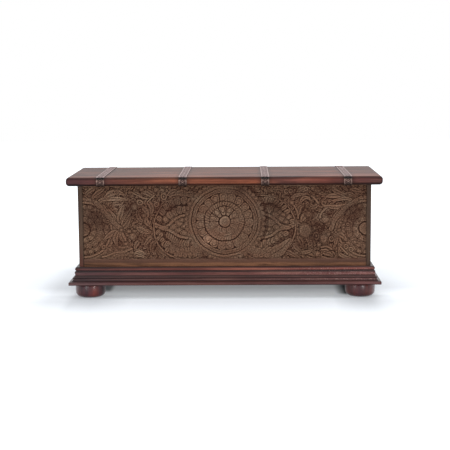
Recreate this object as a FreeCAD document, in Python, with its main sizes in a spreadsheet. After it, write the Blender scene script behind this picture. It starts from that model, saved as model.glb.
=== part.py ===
import FreeCAD, Part
import Sketcher
import math
import os
import re

# Long low lidded chest with a carved front, iron-strapped lid, ogee base and four bun feet.
# The frame: X along the chest, front towards -Y, Z up, origin on the floor under its middle.
# Every driving size is a cell of the Sizes sheet, in millimetres.

SIZES = {
    # the case
    "case_length": 1138,
    "case_depth": 370,
    "case_height": 388.5,
    "end_thickness": 15,
    "front_thickness": 22,
    "back_thickness": 18,
    "post_width": 25,
    "post_clearance": 4,
    # the sunk field of the front board and what stands in it
    "relief_depth": 8,
    "field_side_margin": 8,
    "field_foot_margin": 93,
    "field_head_margin": 8,
    "medallion_radius": 130,
    "medallion_rise": 245,
    "eye_radius": 129,
    "eye_rise": 220,
    "eye_place": 150,
    "end_rosette_radius": 115,
    "end_rosette_rise": 214,
    "spray_radius": 62,
    "spray_rise": 246,
    # the feet and the bottom
    "foot_height": 54,
    "foot_radius": 59,
    "foot_side_radius": 58.4,
    "foot_sole_radius": 38,
    "foot_top_radius": 49.4,
    "spigot_radius": 10,
    "spigot_length": 30,
    "spigot_side_wall": 5,
    "spigot_end_wall": 12,
    "foot_block_side": 80,
    "foot_block_height": 40,
    "cleat_width": 25,
    "cleat_height": 22,
    "floor_thickness": 12,
    # the base moulding
    "moulding_height": 69,
    "moulding_out": 39,
    # the lid
    "lid_overhang": 41,
    "lid_thickness": 34.5,
    "nose_radius": 13.75,
    "batten_width": 60,
    "batten_thickness": 20,
    "batten_end_distance": 144,
    "batten_clearance": 14,
    # the iron straps and their nails
    "strap_width": 31,
    "strap_thickness": 1.6,
    "strap_rim_width": 4.5,
    "strap_rim_height": 1,
    "strap_end_distance": 134.5,
    "strap_bed": 0.1,
    "nail_head_radius": 3.2,
    "nail_head_height": 1.4,
    "nail_shank_radius": 0.9,
    "nail_length": 16,
    "nail_edge_distance": 32,
    # the butt hinges
    "hinge_length": 63,
    "hinge_leaf_thickness": 2,
    "hinge_barrel_radius": 5,
    "hinge_pin_radius": 2,
    "hinge_clearance": 0.4,
    "case_leaf_width": 26,
    "lid_leaf_width": 22,
    "hinge_end_distance": 239,
    # screws, holes and fits
    "screw_head_radius": 3.4,
    "screw_shank_radius": 1.7,
    "screw_head_height": 1.8,
    "hinge_screw_length": 13,
    "hinge_screw_inset": 8,
    "batten_screw_length": 32,
    "batten_screw_inset": 28,
    "fit": 0.05,
    "cut_overrun": 2,
}

# Outline of the base moulding: shares of its projection and of its height, from the bottom
# inner corner outwards and up. "via" is the middle point of a round stretch.
MOULDING_SHARES = (
    ("to", 0, 0),
    ("to", 0.923, 0),
    ("via", 0.977, 0.013),
    ("to", 1, 0.045),
    ("to", 1, 0.152),
    ("via", 0.981, 0.178),
    ("to", 0.936, 0.188),
    ("to", 0.91, 0.188),
    ("via", 0.679, 0.246),
    ("to", 0.564, 0.355),
    ("via", 0.62, 0.394),
    ("to", 0.526, 0.438),
    ("via", 0.431, 0.507),
    ("to", 0.372, 0.601),
    ("to", 0.397, 0.601),
    ("via", 0.436, 0.696),
    ("to", 0.346, 0.787),
    ("to", 0.308, 0.787),
    ("to", 0.308, 0.823),
    ("to", 0.344, 0.823),
    ("via", 0.392, 0.916),
    ("to", 0.282, 1),
    ("to", 0, 1),
)
# Heights of the relief, as shares of the depth of the sunk field.
BOSS_SHARE = 1
BAND_SHARE = 0.85
LOBE_SHARE = 0.65
BOSS_FACE_SHARE = 0.7
NAIL_FACE_SHARE = 0.45
# Rosettes, in shares of their radius: the boss, rings of lobes as (reach, lobe) and flat bands
# as (outer, inner).
ROSETTE_SHARES = {
    "medallion": {
        "boss": 0.17,
        "lobes": ((0.36, 0.115), (0.75, 0.105)),
        "bands": ((0.59, 0.51), (1, 0.9)),
    },
    "end_rosette": {
        "boss": 0.23,
        "lobes": ((0.36, 0.08),),
        "bands": ((0.63, 0.52), (1, 0.88)),
    },
    "spray": {
        "boss": 0.35,
        "lobes": ((0.72, 0.24),),
        "bands": (),
    },
}
LOBE_COUNTS = {"medallion": (9, 20), "end_rosette": (14,), "spray": (7,)}
EYE_RING_SHARE = 0.93
EYE_BERRY_SHARE = 0.11
EYE_BERRY_REACH_SHARE = 0.42
EYE_BERRY_COUNT = 5
EYE_BERRY_ANGLES = (125, 235)
FLOOR_BOARD_COUNT = 5
LID_BOARDS = ("lid_board_front", "lid_board_middle", "lid_board_rear")

SIDES = {"left": -1, "right": 1}
ENDS = {"front": -1, "back": 1}
ROWS = {"left": -1, "centre": 0, "right": 1}
# The four straps stand evenly, the outer two a set distance from the ends of the lid.
STRAPS = {"outer_left": -1, "inner_left": -1 / 3, "inner_right": 1 / 3, "outer_right": 1}

# Places that several pieces share, as formulas of the sizes.
PLACES = {
    "half_length": "(case_length / 2)",
    "half_depth": "(case_depth / 2)",
    "inner_end": "(case_length / 2 - end_thickness)",
    "inner_front": "(case_depth / 2 - front_thickness)",
    "inner_back": "(case_depth / 2 - back_thickness)",
    "rim": "(foot_height + case_height)",
    "mid_wall": "(foot_height + case_height / 2)",
    "block_top": "(foot_height + foot_block_height)",
    "floor_top": "(foot_height + foot_block_height + floor_thickness)",
    "lid_half_length": "(case_length / 2 + lid_overhang)",
    "lid_half_depth": "(case_depth / 2 + lid_overhang)",
    "lid_top": "(foot_height + case_height + lid_thickness)",
    "strap_reach": "(case_length / 2 + lid_overhang - strap_end_distance)",
    "hinge_reach": "(case_length / 2 - hinge_end_distance)",
    "batten_reach": "(case_length / 2 - end_thickness - batten_end_distance)",
    "board_depth": "((case_depth + 2 * lid_overhang) / %d)" % len(LID_BOARDS),
    "pin_y": "(case_depth / 2 + hinge_barrel_radius + hinge_clearance)",
    "pin_z": "(foot_height + case_height - hinge_barrel_radius - hinge_clearance)",
    "foot_x": "(case_length / 2 - end_thickness - spigot_end_wall - spigot_radius)",
    "foot_y": "(case_depth / 2 - front_thickness - spigot_side_wall - spigot_radius)",
    "field_ground": "(relief_depth - case_depth / 2)",
    "medallion_height": "(foot_height + medallion_rise)",
    "eye_height": "(foot_height + eye_rise)",
    "end_rosette_height": "(foot_height + end_rosette_rise)",
    "spray_height": "(foot_height + spray_rise)",
    "end_rosette_place": "(case_length / 2 - end_thickness - field_side_margin)",
    "spray_place": "((eye_place + eye_radius + case_length / 2 - end_thickness"
                   " - field_side_margin - end_rosette_radius) / 2)",
    "diagonal": "sqrt(0.5)",
}

NAMED = {alias: "Sizes." + alias for alias in SIZES}

doc = FreeCAD.newDocument("carved_chest")
sheet = doc.addObject("Spreadsheet::Sheet", "Sizes")
for row, (alias, size) in enumerate(SIZES.items(), start=1):
    sheet.set("A%d" % row, alias)
    sheet.set("B%d" % row, str(size))
    sheet.setAlias("B%d" % row, alias)
# One cell of a second sheet works out a formula where a sketch needs a first guess.
bench = doc.addObject("Spreadsheet::Sheet", "Bench")
doc.recompute()


def formula(text):
    """The text with each shared place written out and each size named in full."""
    spelled = re.sub(r"[a-z_]+", lambda found: PLACES.get(found.group(), found.group()), text)
    return re.sub(r"[a-z_]+", lambda found: NAMED.get(found.group(), found.group()), spelled)


def value(text):
    """The number that a formula gives with the present sizes."""
    bench.set("A1", "=" + formula(text))
    bench.recompute()
    return float(bench.get("A1"))


def tie(thing, **formulas):
    for name, text in formulas.items():
        thing.setExpression(name, formula(text))


def put(thing, x, y, z):
    for axis, text in zip("xyz", (x, y, z)):
        thing.setExpression("Placement.Base." + axis, formula(text))


def turned(axis):
    """Rotation that takes a primitive's own Z to the named direction."""
    turns = {
        "z": ((0, 0, 1), 0),
        "-z": ((1, 0, 0), 180),
        "-y": ((1, 0, 0), 90),
        "x": ((0, 1, 0), 90),
    }
    direction, angle = turns[axis]
    return FreeCAD.Placement(FreeCAD.Vector(), FreeCAD.Rotation(FreeCAD.Vector(*direction), angle))


def box(name, x, y, z):
    """Box between a low and a high formula on each axis."""
    made = doc.addObject("Part::Box", name)
    low, high = zip(x, y, z)
    sides = ["(%s) - (%s)" % pair for pair in zip(high, low)]
    tie(made, Length=sides[0], Width=sides[1], Height=sides[2])
    put(made, *low)
    return made


def cylinder(name, at, radius, length, axis="z"):
    made = doc.addObject("Part::Cylinder", name)
    made.Placement = turned(axis)
    tie(made, Radius=radius, Height=length)
    put(made, *at)
    return made


def cone(name, at, radius, top_radius, length, axis="z"):
    made = doc.addObject("Part::Cone", name)
    made.Placement = turned(axis)
    tie(made, Radius1=radius, Radius2=top_radius, Height=length)
    put(made, *at)
    return made


def combined(kind, name, shapes):
    made = doc.addObject("Part::" + kind, name)
    if kind == "Compound":
        made.Links = shapes
    elif kind == "MultiFuse":
        made.Shapes = shapes
    else:
        made.Base, made.Tool = shapes
    return made


def mirrored(low, high, side):
    """A span on the plus side, or its mirror image on the minus side."""
    return (low, high) if side > 0 else ("-(%s)" % high, "-(%s)" % low)


def sketch_on(body, name, role):
    """Sketch lying on one of the body's own origin planes."""
    made = body.newObject("Sketcher::SketchObject", name)
    plane = next(feature for feature in body.Origin.OriginFeatures if feature.Role == role)
    made.AttachmentSupport = [(plane, "")]
    made.MapMode = "FlatFace"
    return made


def pin_point(sketch, edge, end, place):
    """Hold a point of the sketch at two formulas, measured from the sketch's origin."""
    for kind, text, other_axis in (("DistanceX", place[0], -2), ("DistanceY", place[1], -1)):
        if text == "0":
            sketch.addConstraint(Sketcher.Constraint("PointOnObject", edge, end, other_axis))
        else:
            held = sketch.addConstraint(Sketcher.Constraint(kind, -1, 1, edge, end, value(text)))
            sketch.setExpression("Constraints[%d]" % held, formula(text))


def outline(sketch, points):
    """Closed outline of lines and three-point arcs. A point is ("to" or "via", x, y)."""
    corners = [point for point in points if point[0] == "to"]
    middles = {}
    last = -1
    for point in points:
        if point[0] == "to":
            last += 1
        else:
            middles[last] = point
    spots = [FreeCAD.Vector(value(x), value(y), 0) for _, x, y in corners]
    starts = []
    stops = []
    for number, spot in enumerate(spots):
        following = spots[(number + 1) % len(spots)]
        if number not in middles:
            edge = sketch.addGeometry(Part.LineSegment(spot, following), False)
            starts.append((edge, 1))
            stops.append((edge, 2))
            continue
        place = middles[number][1:]
        middle = FreeCAD.Vector(value(place[0]), value(place[1]), 0)
        leftward = (middle - spot).cross(following - middle).z > 0
        edge = sketch.addGeometry(Part.Arc(spot, middle, following), False)
        starts.append((edge, 1 if leftward else 2))
        stops.append((edge, 2 if leftward else 1))
        mark = sketch.addGeometry(Part.Point(middle), True)
        pin_point(sketch, mark, 1, place)
        sketch.addConstraint(Sketcher.Constraint("PointOnObject", mark, 1, edge))
    for number, corner in enumerate(corners):
        sketch.addConstraint(Sketcher.Constraint("Coincident", *stops[number - 1], *starts[number]))
        pin_point(sketch, *starts[number], corner[1:])


def sketched(body, kind, name, role, points, **formulas):
    """Pad or pocket of a closed outline, as deep on both sides of its plane."""
    drawing = sketch_on(body, name + "_outline", role)
    outline(drawing, points)
    made = body.newObject("PartDesign::" + kind, name)
    made.Profile = drawing
    made.SideType = "Symmetric"
    tie(made, **formulas)
    drawing.Visibility = False
    return made


pieces = []


def piece(name, thing):
    """Enter a finished sub-part, under the name of its file."""
    thing.Label = name
    pieces.append(thing)
    return thing


def screw(name, at, axis, length):
    """Countersunk screw from the face that its head lies flush with, and the hole for it."""
    solids = []
    for kind, play in (("screw", "0"), ("hole", "fit")):
        title = "%s_%s" % (name, kind)
        narrow = "screw_shank_radius + " + play
        head = cone(title + "_head", at, "screw_head_radius + " + play, narrow, "screw_head_height", axis)
        shank = cylinder(title + "_shank", at, narrow, length + " + " + play, axis)
        solids.append(combined("MultiFuse", title, [head, shank]))
    return solids


# Case walls

def end_board(side_name, side, course, low, high):
    piece("end_board_%s_%s" % (side_name, course), box(
        "EndBoard_%s_%s" % (side_name, course),
        mirrored("inner_end", "half_length", side), ("-half_depth", "half_depth"), (low, high),
    ))


def corner_post(end_name, end, side_name, side):
    wall = "inner_front" if end < 0 else "inner_back"
    piece("corner_post_%s_%s" % (end_name, side_name), box(
        "CornerPost_%s_%s" % (end_name, side_name),
        mirrored("inner_end - post_width", "inner_end", side),
        mirrored("%s - post_width" % wall, wall, end),
        ("floor_top", "rim - post_clearance"),
    ))


for side_name, side in SIDES.items():
    end_board(side_name, side, "lower", "foot_height", "mid_wall")
    end_board(side_name, side, "upper", "mid_wall", "rim")
    for end_name, end in ENDS.items():
        corner_post(end_name, end, side_name, side)


# Carved front board: a sunk field with rings, lobed rosettes and bosses left standing in it

def raised(name, x, z, radius, share):
    """Round island from the ground of the field towards the face of the board."""
    return cylinder(name, (x, "field_ground", z), radius, "relief_depth * %g" % share, "-y")


def boss(name, x, z, radius):
    """Rounded button, wider at its foot than at its face."""
    return cone(name, (x, "field_ground", z), radius, "(%s) * %g" % (radius, BOSS_FACE_SHARE),
                "relief_depth * %g" % BOSS_SHARE, "-y")


def band(name, x, z, outer, inner):
    rings = [raised("%s_%s" % (name, part), x, z, radius, BAND_SHARE)
             for part, radius in (("outer", outer), ("inner", inner))]
    return combined("Cut", name, rings)


def lobes(name, x, z, count, reach, radius):
    """Ring of round lobes about a centre."""
    made = []
    for number in range(count):
        turn = 2 * math.pi * (number + 0.5) / count
        made.append(raised(
            "%s_%d" % (name, number),
            "%s + (%s) * %.5f" % (x, reach, math.cos(turn)),
            "%s + (%s) * %.5f" % (z, reach, math.sin(turn)), radius, LOBE_SHARE,
        ))
    return made


def rosette(kind, name, x):
    radius = kind + "_radius"
    z = kind + "_height"
    made = [boss(name + "_boss", x, z, "%s * %g" % (radius, ROSETTE_SHARES[kind]["boss"]))]
    for number, (reach, lobe) in enumerate(ROSETTE_SHARES[kind]["lobes"]):
        made += lobes("%s_lobe_%d" % (name, number), x, z, LOBE_COUNTS[kind][number],
                      "%s * %g" % (radius, reach), "%s * %g" % (radius, lobe))
    for number, (outer, inner) in enumerate(ROSETTE_SHARES[kind]["bands"]):
        made.append(band("%s_band_%d" % (name, number), x, z,
                         "%s * %g" % (radius, outer), "%s * %g" % (radius, inner)))
    return made


def eye(name, side):
    """Large ring beside the medallion, which overlies it, with a row of berries inside."""
    x = "%d * eye_place" % side
    ring = band(name + "_ring", x, "eye_height", "eye_radius", "eye_radius * %g" % EYE_RING_SHARE)
    clear = raised(name + "_clear", "0", "medallion_height", "medallion_radius", BOSS_SHARE)
    made = [combined("Cut", name + "_open_ring", (ring, clear))]
    first, last = EYE_BERRY_ANGLES
    for number in range(EYE_BERRY_COUNT):
        turn = math.radians(first + (last - first) * number / (EYE_BERRY_COUNT - 1))
        made.append(raised(
            "%s_berry_%d" % (name, number),
            "%s - %d * eye_radius * %.5f" % (x, side, EYE_BERRY_REACH_SHARE * math.cos(turn)),
            "eye_height + eye_radius * %.5f" % (EYE_BERRY_REACH_SHARE * math.sin(turn)),
            "eye_radius * %g" % EYE_BERRY_SHARE, LOBE_SHARE,
        ))
    return made


def front_panel():
    blank = box("FrontBlank", ("-inner_end", "inner_end"), ("-half_depth", "-inner_front"),
                ("foot_height", "rim"))
    across = ("-inner_end + field_side_margin", "inner_end - field_side_margin")
    upward = ("foot_height + field_foot_margin", "rim - field_head_margin")
    sunk = box("FieldCut", across, ("-half_depth - cut_overrun", "field_ground"), upward)
    window = box("FieldWindow", across, ("-half_depth", "field_ground"), upward)
    forms = rosette("medallion", "medallion", "0")
    for side_name, side in SIDES.items():
        forms += eye("eye_" + side_name, side)
        forms += rosette("end_rosette", "end_rosette_" + side_name, "%d * end_rosette_place" % side)
        forms += rosette("spray", "spray_" + side_name, "%d * spray_place" % side)
    relief = combined("Common", "Relief", (combined("MultiFuse", "ReliefForms", forms), window))
    board = combined("Cut", "FrontBoard", (blank, sunk))
    piece("front_panel", combined("MultiFuse", "FrontPanel", [board, relief]))


front_panel()


# Bottom of the case

def foot_block(end_name, end, side_name, side):
    wall = "inner_front" if end < 0 else "inner_back"
    blank = box(
        "FootBlockBlank_%s_%s" % (end_name, side_name),
        mirrored("inner_end - foot_block_side", "inner_end", side),
        mirrored("%s - foot_block_side" % wall, wall, end), ("foot_height", "block_top"),
    )
    socket = cylinder(
        "FootSocket_%s_%s" % (end_name, side_name),
        ("%d * foot_x" % side, "%d * foot_y" % end, "foot_height - cut_overrun"),
        "spigot_radius + fit", "spigot_length + cut_overrun + fit",
    )
    piece("foot_block_%s_%s" % (end_name, side_name),
          combined("Cut", "FootBlock_%s_%s" % (end_name, side_name), (blank, socket)))


def foot(end_name, end, side_name, side):
    """Turned bun foot with the spigot that stands in its block."""
    body = doc.addObject("PartDesign::Body", "Foot_%s_%s" % (end_name, side_name))
    drawing = sketch_on(body, "FootOutline_%s_%s" % (end_name, side_name), "XZ_Plane")
    # The side bulges a little between two quarter rounds, one at the sole and one at the top.
    sole_round = "(foot_side_radius - foot_sole_radius)"
    top_round = "(foot_side_radius - foot_top_radius)"
    outline(drawing, (
        ("to", "0", "0"),
        ("to", "foot_sole_radius", "0"),
        ("via", "foot_sole_radius + %s * diagonal" % sole_round, "%s * (1 - diagonal)" % sole_round),
        ("to", "foot_side_radius", sole_round),
        ("via", "foot_radius", "(foot_height + %s - %s) / 2" % (sole_round, top_round)),
        ("to", "foot_side_radius", "foot_height - %s" % top_round),
        ("via", "foot_top_radius + %s * diagonal" % top_round,
         "foot_height - %s * (1 - diagonal)" % top_round),
        ("to", "foot_top_radius", "foot_height"),
        ("to", "spigot_radius", "foot_height"),
        ("to", "spigot_radius", "foot_height + spigot_length"),
        ("to", "0", "foot_height + spigot_length"),
    ))
    turning = body.newObject("PartDesign::Revolution", "FootTurning_%s_%s" % (end_name, side_name))
    turning.Profile = drawing
    turning.ReferenceAxis = (drawing, ["V_Axis"])
    turning.Angle = 360
    put(body, "%d * foot_x" % side, "%d * foot_y" % end, "0")
    piece("foot_%s_%s" % (end_name, side_name), body)


for end_name, end in ENDS.items():
    for side_name, side in SIDES.items():
        foot_block(end_name, end, side_name, side)
        foot(end_name, end, side_name, side)

for end_name, end in ENDS.items():
    wall = "inner_front" if end < 0 else "inner_back"
    piece("bottom_cleat_" + end_name, box(
        "BottomCleat_" + end_name,
        ("foot_block_side - inner_end", "inner_end - foot_block_side"),
        mirrored(wall + " - cleat_width", wall, end), ("block_top - cleat_height", "block_top"),
    ))
for side_name, side in SIDES.items():
    piece("bottom_cleat_" + side_name, box(
        "BottomCleat_" + side_name,
        mirrored("inner_end - cleat_width", "inner_end", side),
        ("foot_block_side - inner_front", "inner_back - foot_block_side"),
        ("block_top - cleat_height", "block_top"),
    ))
for number in range(FLOOR_BOARD_COUNT):
    edges = ["inner_end * %g" % (2 * (number + step) / FLOOR_BOARD_COUNT - 1) for step in (0, 1)]
    piece("bottom_board_%d" % (number + 1), box(
        "BottomBoard_%d" % (number + 1), edges, ("-inner_front", "inner_back"), ("block_top", "floor_top"),
    ))


# Base moulding: one padded outline for each side of the case, mitred at the corners

def moulding(name, side, plane, across, along):
    """Run along one face of the case; across is the distance of that face, along half its length."""
    body = doc.addObject("PartDesign::Body", "Moulding_" + name)
    points = [(kind, "%d * (%s + moulding_out * %g)" % (side, across, out),
               "foot_height + moulding_height * %g" % up) for kind, out, up in MOULDING_SHARES]
    sketched(body, "Pad", "MouldingRun_" + name, plane, points,
             Length="2 * (%s + moulding_out + cut_overrun)" % along)
    beyond = "moulding_out + 2 * cut_overrun"
    for end_name, end in SIDES.items():
        corners = (
            ("%d * %s" % (end, along), "%d * %s" % (side, across)),
            ("%d * (%s + %s)" % (end, along, beyond), "%d * (%s - cut_overrun)" % (side, across)),
            ("%d * (%s + %s)" % (end, along, beyond), "%d * (%s + %s)" % (side, across, beyond)),
        )
        mitre = [("to", *(corner if plane == "YZ_Plane" else reversed(corner))) for corner in corners]
        sketched(body, "Pocket", "Mitre_%s_%s" % (name, end_name), "XY_Plane", mitre,
                 Length="2 * (foot_height + moulding_height + cut_overrun)")
    piece("base_moulding_" + name, body)


for end_name, end in ENDS.items():
    moulding(end_name, end, "YZ_Plane", "half_depth", "half_length")
for side_name, side in SIDES.items():
    moulding(side_name, side, "XZ_Plane", "half_length", "half_depth")


# Hinges, with their screws and the holes for them

case_screws = []
case_holes = []
lid_screws = []
lid_holes = []


def barrel(name, x, half):
    start = ("%s - (%s)" % (x, half), "pin_y", "pin_z")
    return cylinder(name, start, "hinge_barrel_radius", "2 * (%s)" % half, "x")


def hinge(row, x):
    third = "hinge_length / 6"
    along = ("%s - hinge_length / 2" % x, "%s + hinge_length / 2" % x)
    middle = ("%s - %s" % (x, third), "%s + %s" % (x, third))
    gap = ("%s - hinge_clearance" % middle[0], "%s + hinge_clearance" % middle[1])
    bore = cylinder("HingeBore_" + row, (along[0] + " - cut_overrun", "pin_y", "pin_z"),
                    "hinge_pin_radius + fit", "hinge_length + 2 * cut_overrun", "x")
    case_plate = box("CasePlate_" + row, along, ("half_depth", "half_depth + hinge_leaf_thickness"),
                     ("pin_z - case_leaf_width", "pin_z"))
    case_blank = combined("MultiFuse", "CaseLeafBlank_" + row,
                          [case_plate, barrel("CaseBarrel_" + row, x, "hinge_length / 2")])
    gate = box("CaseGate_" + row, gap, ("half_depth - cut_overrun", "pin_y + 2 * hinge_barrel_radius"),
               ("pin_z - hinge_barrel_radius - hinge_clearance", "rim + cut_overrun"))
    lid_plate = box("LidPlate_" + row, along,
                    ("pin_y + hinge_barrel_radius + hinge_clearance", "pin_y + lid_leaf_width"),
                    ("rim - hinge_leaf_thickness", "rim"))
    tongue = box("LidTongue_" + row, middle, ("pin_y", "pin_y + hinge_barrel_radius + hinge_clearance"),
                 ("rim - hinge_leaf_thickness", "rim"))
    lid_blank = combined("MultiFuse", "LidLeafBlank_" + row,
                         [lid_plate, tongue, barrel("LidBarrel_" + row, x, third)])
    case_cuts = [bore, gate]
    lid_cuts = [bore]
    for spot, side in ROWS.items():
        place = "%s + %d * (hinge_length / 2 - hinge_screw_inset)" % (x, side)
        drop = "pin_z - hinge_barrel_radius - (case_leaf_width - hinge_barrel_radius) / 2"
        reach = "pin_y + hinge_barrel_radius + (lid_leaf_width - hinge_barrel_radius) / 2"
        made, hole = screw("case_%s_%s" % (row, spot),
                           (place, "half_depth + hinge_leaf_thickness", drop), "-y", "hinge_screw_length")
        case_screws.append(made)
        case_holes.append(hole)
        case_cuts.append(hole)
        made, hole = screw("lid_%s_%s" % (row, spot),
                           (place, reach, "rim - hinge_leaf_thickness"), "z", "hinge_screw_length")
        lid_screws.append(made)
        lid_holes.append(hole)
        lid_cuts.append(hole)
    case_tool = combined("MultiFuse", "CaseLeafCuts_" + row, case_cuts)
    lid_tool = combined("MultiFuse", "LidLeafCuts_" + row, lid_cuts)
    piece("hinge_%s_case_leaf" % row, combined("Cut", "CaseLeaf_" + row, (case_blank, case_tool)))
    piece("hinge_%s_lid_leaf" % row, combined("Cut", "LidLeaf_" + row, (lid_blank, lid_tool)))
    piece("hinge_%s_pin" % row, cylinder("HingePin_" + row, (along[0], "pin_y", "pin_z"),
                                         "hinge_pin_radius", "hinge_length", "x"))


for row, side in ROWS.items():
    hinge(row, "%d * hinge_reach" % side)
piece("hinge_case_screws", combined("Compound", "HingeCaseScrews", case_screws))
piece("hinge_lid_screws", combined("Compound", "HingeLidScrews", lid_screws))

piece("back_board_lower", box("BackBoardLower", ("-inner_end", "inner_end"), ("inner_back", "half_depth"),
                              ("foot_height", "mid_wall")))
back_blank = box("BackBoardBlank", ("-inner_end", "inner_end"), ("inner_back", "half_depth"),
                 ("mid_wall", "rim"))
back_drillings = combined("Compound", "BackBoardHoles", case_holes)
piece("back_board_upper", combined("Cut", "BackBoardUpper", (back_blank, back_drillings)))


# Battens under the lid, screwed up into its boards

batten_screws = []
batten_holes = []


def batten(row, x):
    blank = box("BattenBlank_" + row, ("%s - batten_width / 2" % x, "%s + batten_width / 2" % x),
                ("batten_clearance - inner_front", "inner_back - batten_clearance"),
                ("rim - batten_thickness", "rim"))
    holes = []
    places = ("batten_clearance - inner_front + batten_screw_inset", "batten_screw_inset - board_depth / 2",
              "board_depth / 2 - batten_screw_inset", "inner_back - batten_clearance - batten_screw_inset")
    for number, y in enumerate(places):
        spot = (x, y, "rim - batten_thickness")
        made, hole = screw("batten_%s_%d" % (row, number), spot, "z", "batten_screw_length")
        batten_screws.append(made)
        holes.append(hole)
    batten_holes.extend(holes)
    drilled = combined("Compound", "BattenHoles_" + row, holes)
    piece("lid_batten_" + row, combined("Cut", "Batten_" + row, (blank, drilled)))


for row, side in ROWS.items():
    batten(row, "%d * batten_reach" % side)
piece("batten_screws", combined("Compound", "BattenScrews", batten_screws))


# Iron straps over the lid, bent round its noses, and their nails

def strap_outline(low, high):
    """Strip along the lid's section, from one offset outside it to another."""
    centre = "(lid_half_depth - nose_radius)"
    points = []
    for side, order in ((low, 1), (high, -1)):
        half = (
            ("to", centre, "-(%s)" % side),
            ("via", "%s + (nose_radius + %s) * diagonal" % (centre, side),
             "nose_radius - (nose_radius + %s) * diagonal" % side),
            ("to", "lid_half_depth + %s" % side, "nose_radius"),
            ("to", "lid_half_depth + %s" % side, "lid_thickness - nose_radius"),
            ("via", "%s + (nose_radius + %s) * diagonal" % (centre, side),
             "lid_thickness - nose_radius + (nose_radius + %s) * diagonal" % side),
            ("to", centre, "lid_thickness + %s" % side),
        )
        rear_to_front = list(half) + [(kind, "-(%s)" % y, z) for kind, y, z in reversed(half)]
        points += rear_to_front[::order]
    return points


nails = []
nail_holes = []


def strap(name, x):
    body = doc.addObject("PartDesign::Body", "Strap_" + name)
    crest = "(strap_bed + strap_thickness + strap_rim_height)"
    skin = "(strap_bed + strap_thickness)"
    band_outline = strap_outline("strap_bed", crest)
    channel_outline = strap_outline(skin, crest + " + cut_overrun")
    sketched(body, "Pad", "StrapRun_" + name, "YZ_Plane", band_outline, Length="strap_width")
    sketched(body, "Pocket", "StrapChannel_" + name, "YZ_Plane", channel_outline,
             Length="strap_width - 2 * strap_rim_width")
    put(body, x, "0", "rim")
    holes = []
    seat = "lid_top + " + skin
    for row, end in (("front", -1), ("middle", 0), ("rear", 1)):
        spot = (x, "%d * (lid_half_depth - nose_radius - nail_edge_distance)" % end)
        title = "Nail_%s_%s" % (name, row)
        head = cone(title + "_head", (*spot, seat), "nail_head_radius",
                    "nail_head_radius * %g" % NAIL_FACE_SHARE, "nail_head_height")
        shank = cylinder(title + "_shank", (*spot, seat), "nail_shank_radius", "nail_length", "-z")
        nails.append(combined("MultiFuse", title, [head, shank]))
        holes.append(cylinder(title + "_hole", (*spot, seat + " + cut_overrun"),
                              "nail_shank_radius + fit", "nail_length + cut_overrun + fit", "-z"))
    nail_holes.extend(holes)
    drilled = combined("Compound", "StrapHoles_" + name, holes)
    piece("lid_strap_" + name, combined("Cut", "DrilledStrap_" + name, (body, drilled)))


for name, share in STRAPS.items():
    strap(name, "%.6f * strap_reach" % share)
piece("strap_nails", combined("Compound", "StrapNails", nails))


# Lid boards: one rounded slab, sawn into three boards and drilled

def lid_boards():
    slab = doc.addObject("PartDesign::Body", "LidSlab")
    corners = [("to", "%d * lid_half_length" % x, "%d * lid_half_depth" % y)
               for x, y in ((-1, -1), (1, -1), (1, 1), (-1, 1))]
    sketched(slab, "Pad", "LidPad", "XY_Plane", corners, Length="lid_thickness")
    doc.recompute()
    rounding = slab.newObject("PartDesign::Fillet", "LidNose")
    rounding.Base = (doc.getObject("LidPad"), [])
    rounding.UseAllEdges = True
    tie(rounding, Radius="nose_radius")
    put(slab, "0", "0", "rim + lid_thickness / 2")
    drilled = combined("Compound", "LidDrillings", lid_holes + batten_holes + nail_holes)
    for number, name in enumerate(LID_BOARDS):
        edges = ["-lid_half_depth + %d * board_depth" % (number + step) for step in (0, 1)]
        saw = box("LidSaw_%d" % number, ("-lid_half_length", "lid_half_length"), edges, ("rim", "lid_top"))
        board = combined("Common", "LidBoard_%d" % number, (slab, saw))
        piece(name, combined("Cut", "DrilledLidBoard_%d" % number, (board, drilled)))


lid_boards()
doc.recompute()

failed = [thing.Name for thing in doc.Objects if {"Invalid", "Error"} & set(thing.State)]
if failed:
    raise RuntimeError("objects that did not build: " + ", ".join(failed))
os.makedirs("parts", exist_ok=True)
for thing in pieces:
    if thing.Shape.isNull() or not thing.Shape.isValid() or not thing.Shape.Solids:
        raise RuntimeError("no valid solid in " + thing.Label)
for thing in pieces:
    thing.Shape.exportStep("parts/%s.step" % thing.Label)
print("%d pieces" % len(pieces))
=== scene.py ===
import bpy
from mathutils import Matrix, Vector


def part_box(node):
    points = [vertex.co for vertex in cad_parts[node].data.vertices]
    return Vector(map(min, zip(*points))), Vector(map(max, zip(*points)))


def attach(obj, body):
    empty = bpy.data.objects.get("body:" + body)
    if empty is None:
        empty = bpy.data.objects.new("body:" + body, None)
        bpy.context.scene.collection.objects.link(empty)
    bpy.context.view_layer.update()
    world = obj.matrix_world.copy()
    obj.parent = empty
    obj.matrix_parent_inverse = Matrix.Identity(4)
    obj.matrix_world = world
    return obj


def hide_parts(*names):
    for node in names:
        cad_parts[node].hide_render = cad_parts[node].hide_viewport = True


bl_info = {
    "name": "Carved chest dressing",
    "version": (1, 0, 0),
    "blender": (4, 5, 0),
    "location": "View3D > Sidebar > Chest",
    "description": "Dresses the frame of a carved chest: relief, straps, nails, finishes and studio",
    "category": "Object",
}

import math

import bpy
import numpy as np
from bpy.props import FloatProperty, FloatVectorProperty, IntProperty
from mathutils import Matrix, Vector

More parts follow.
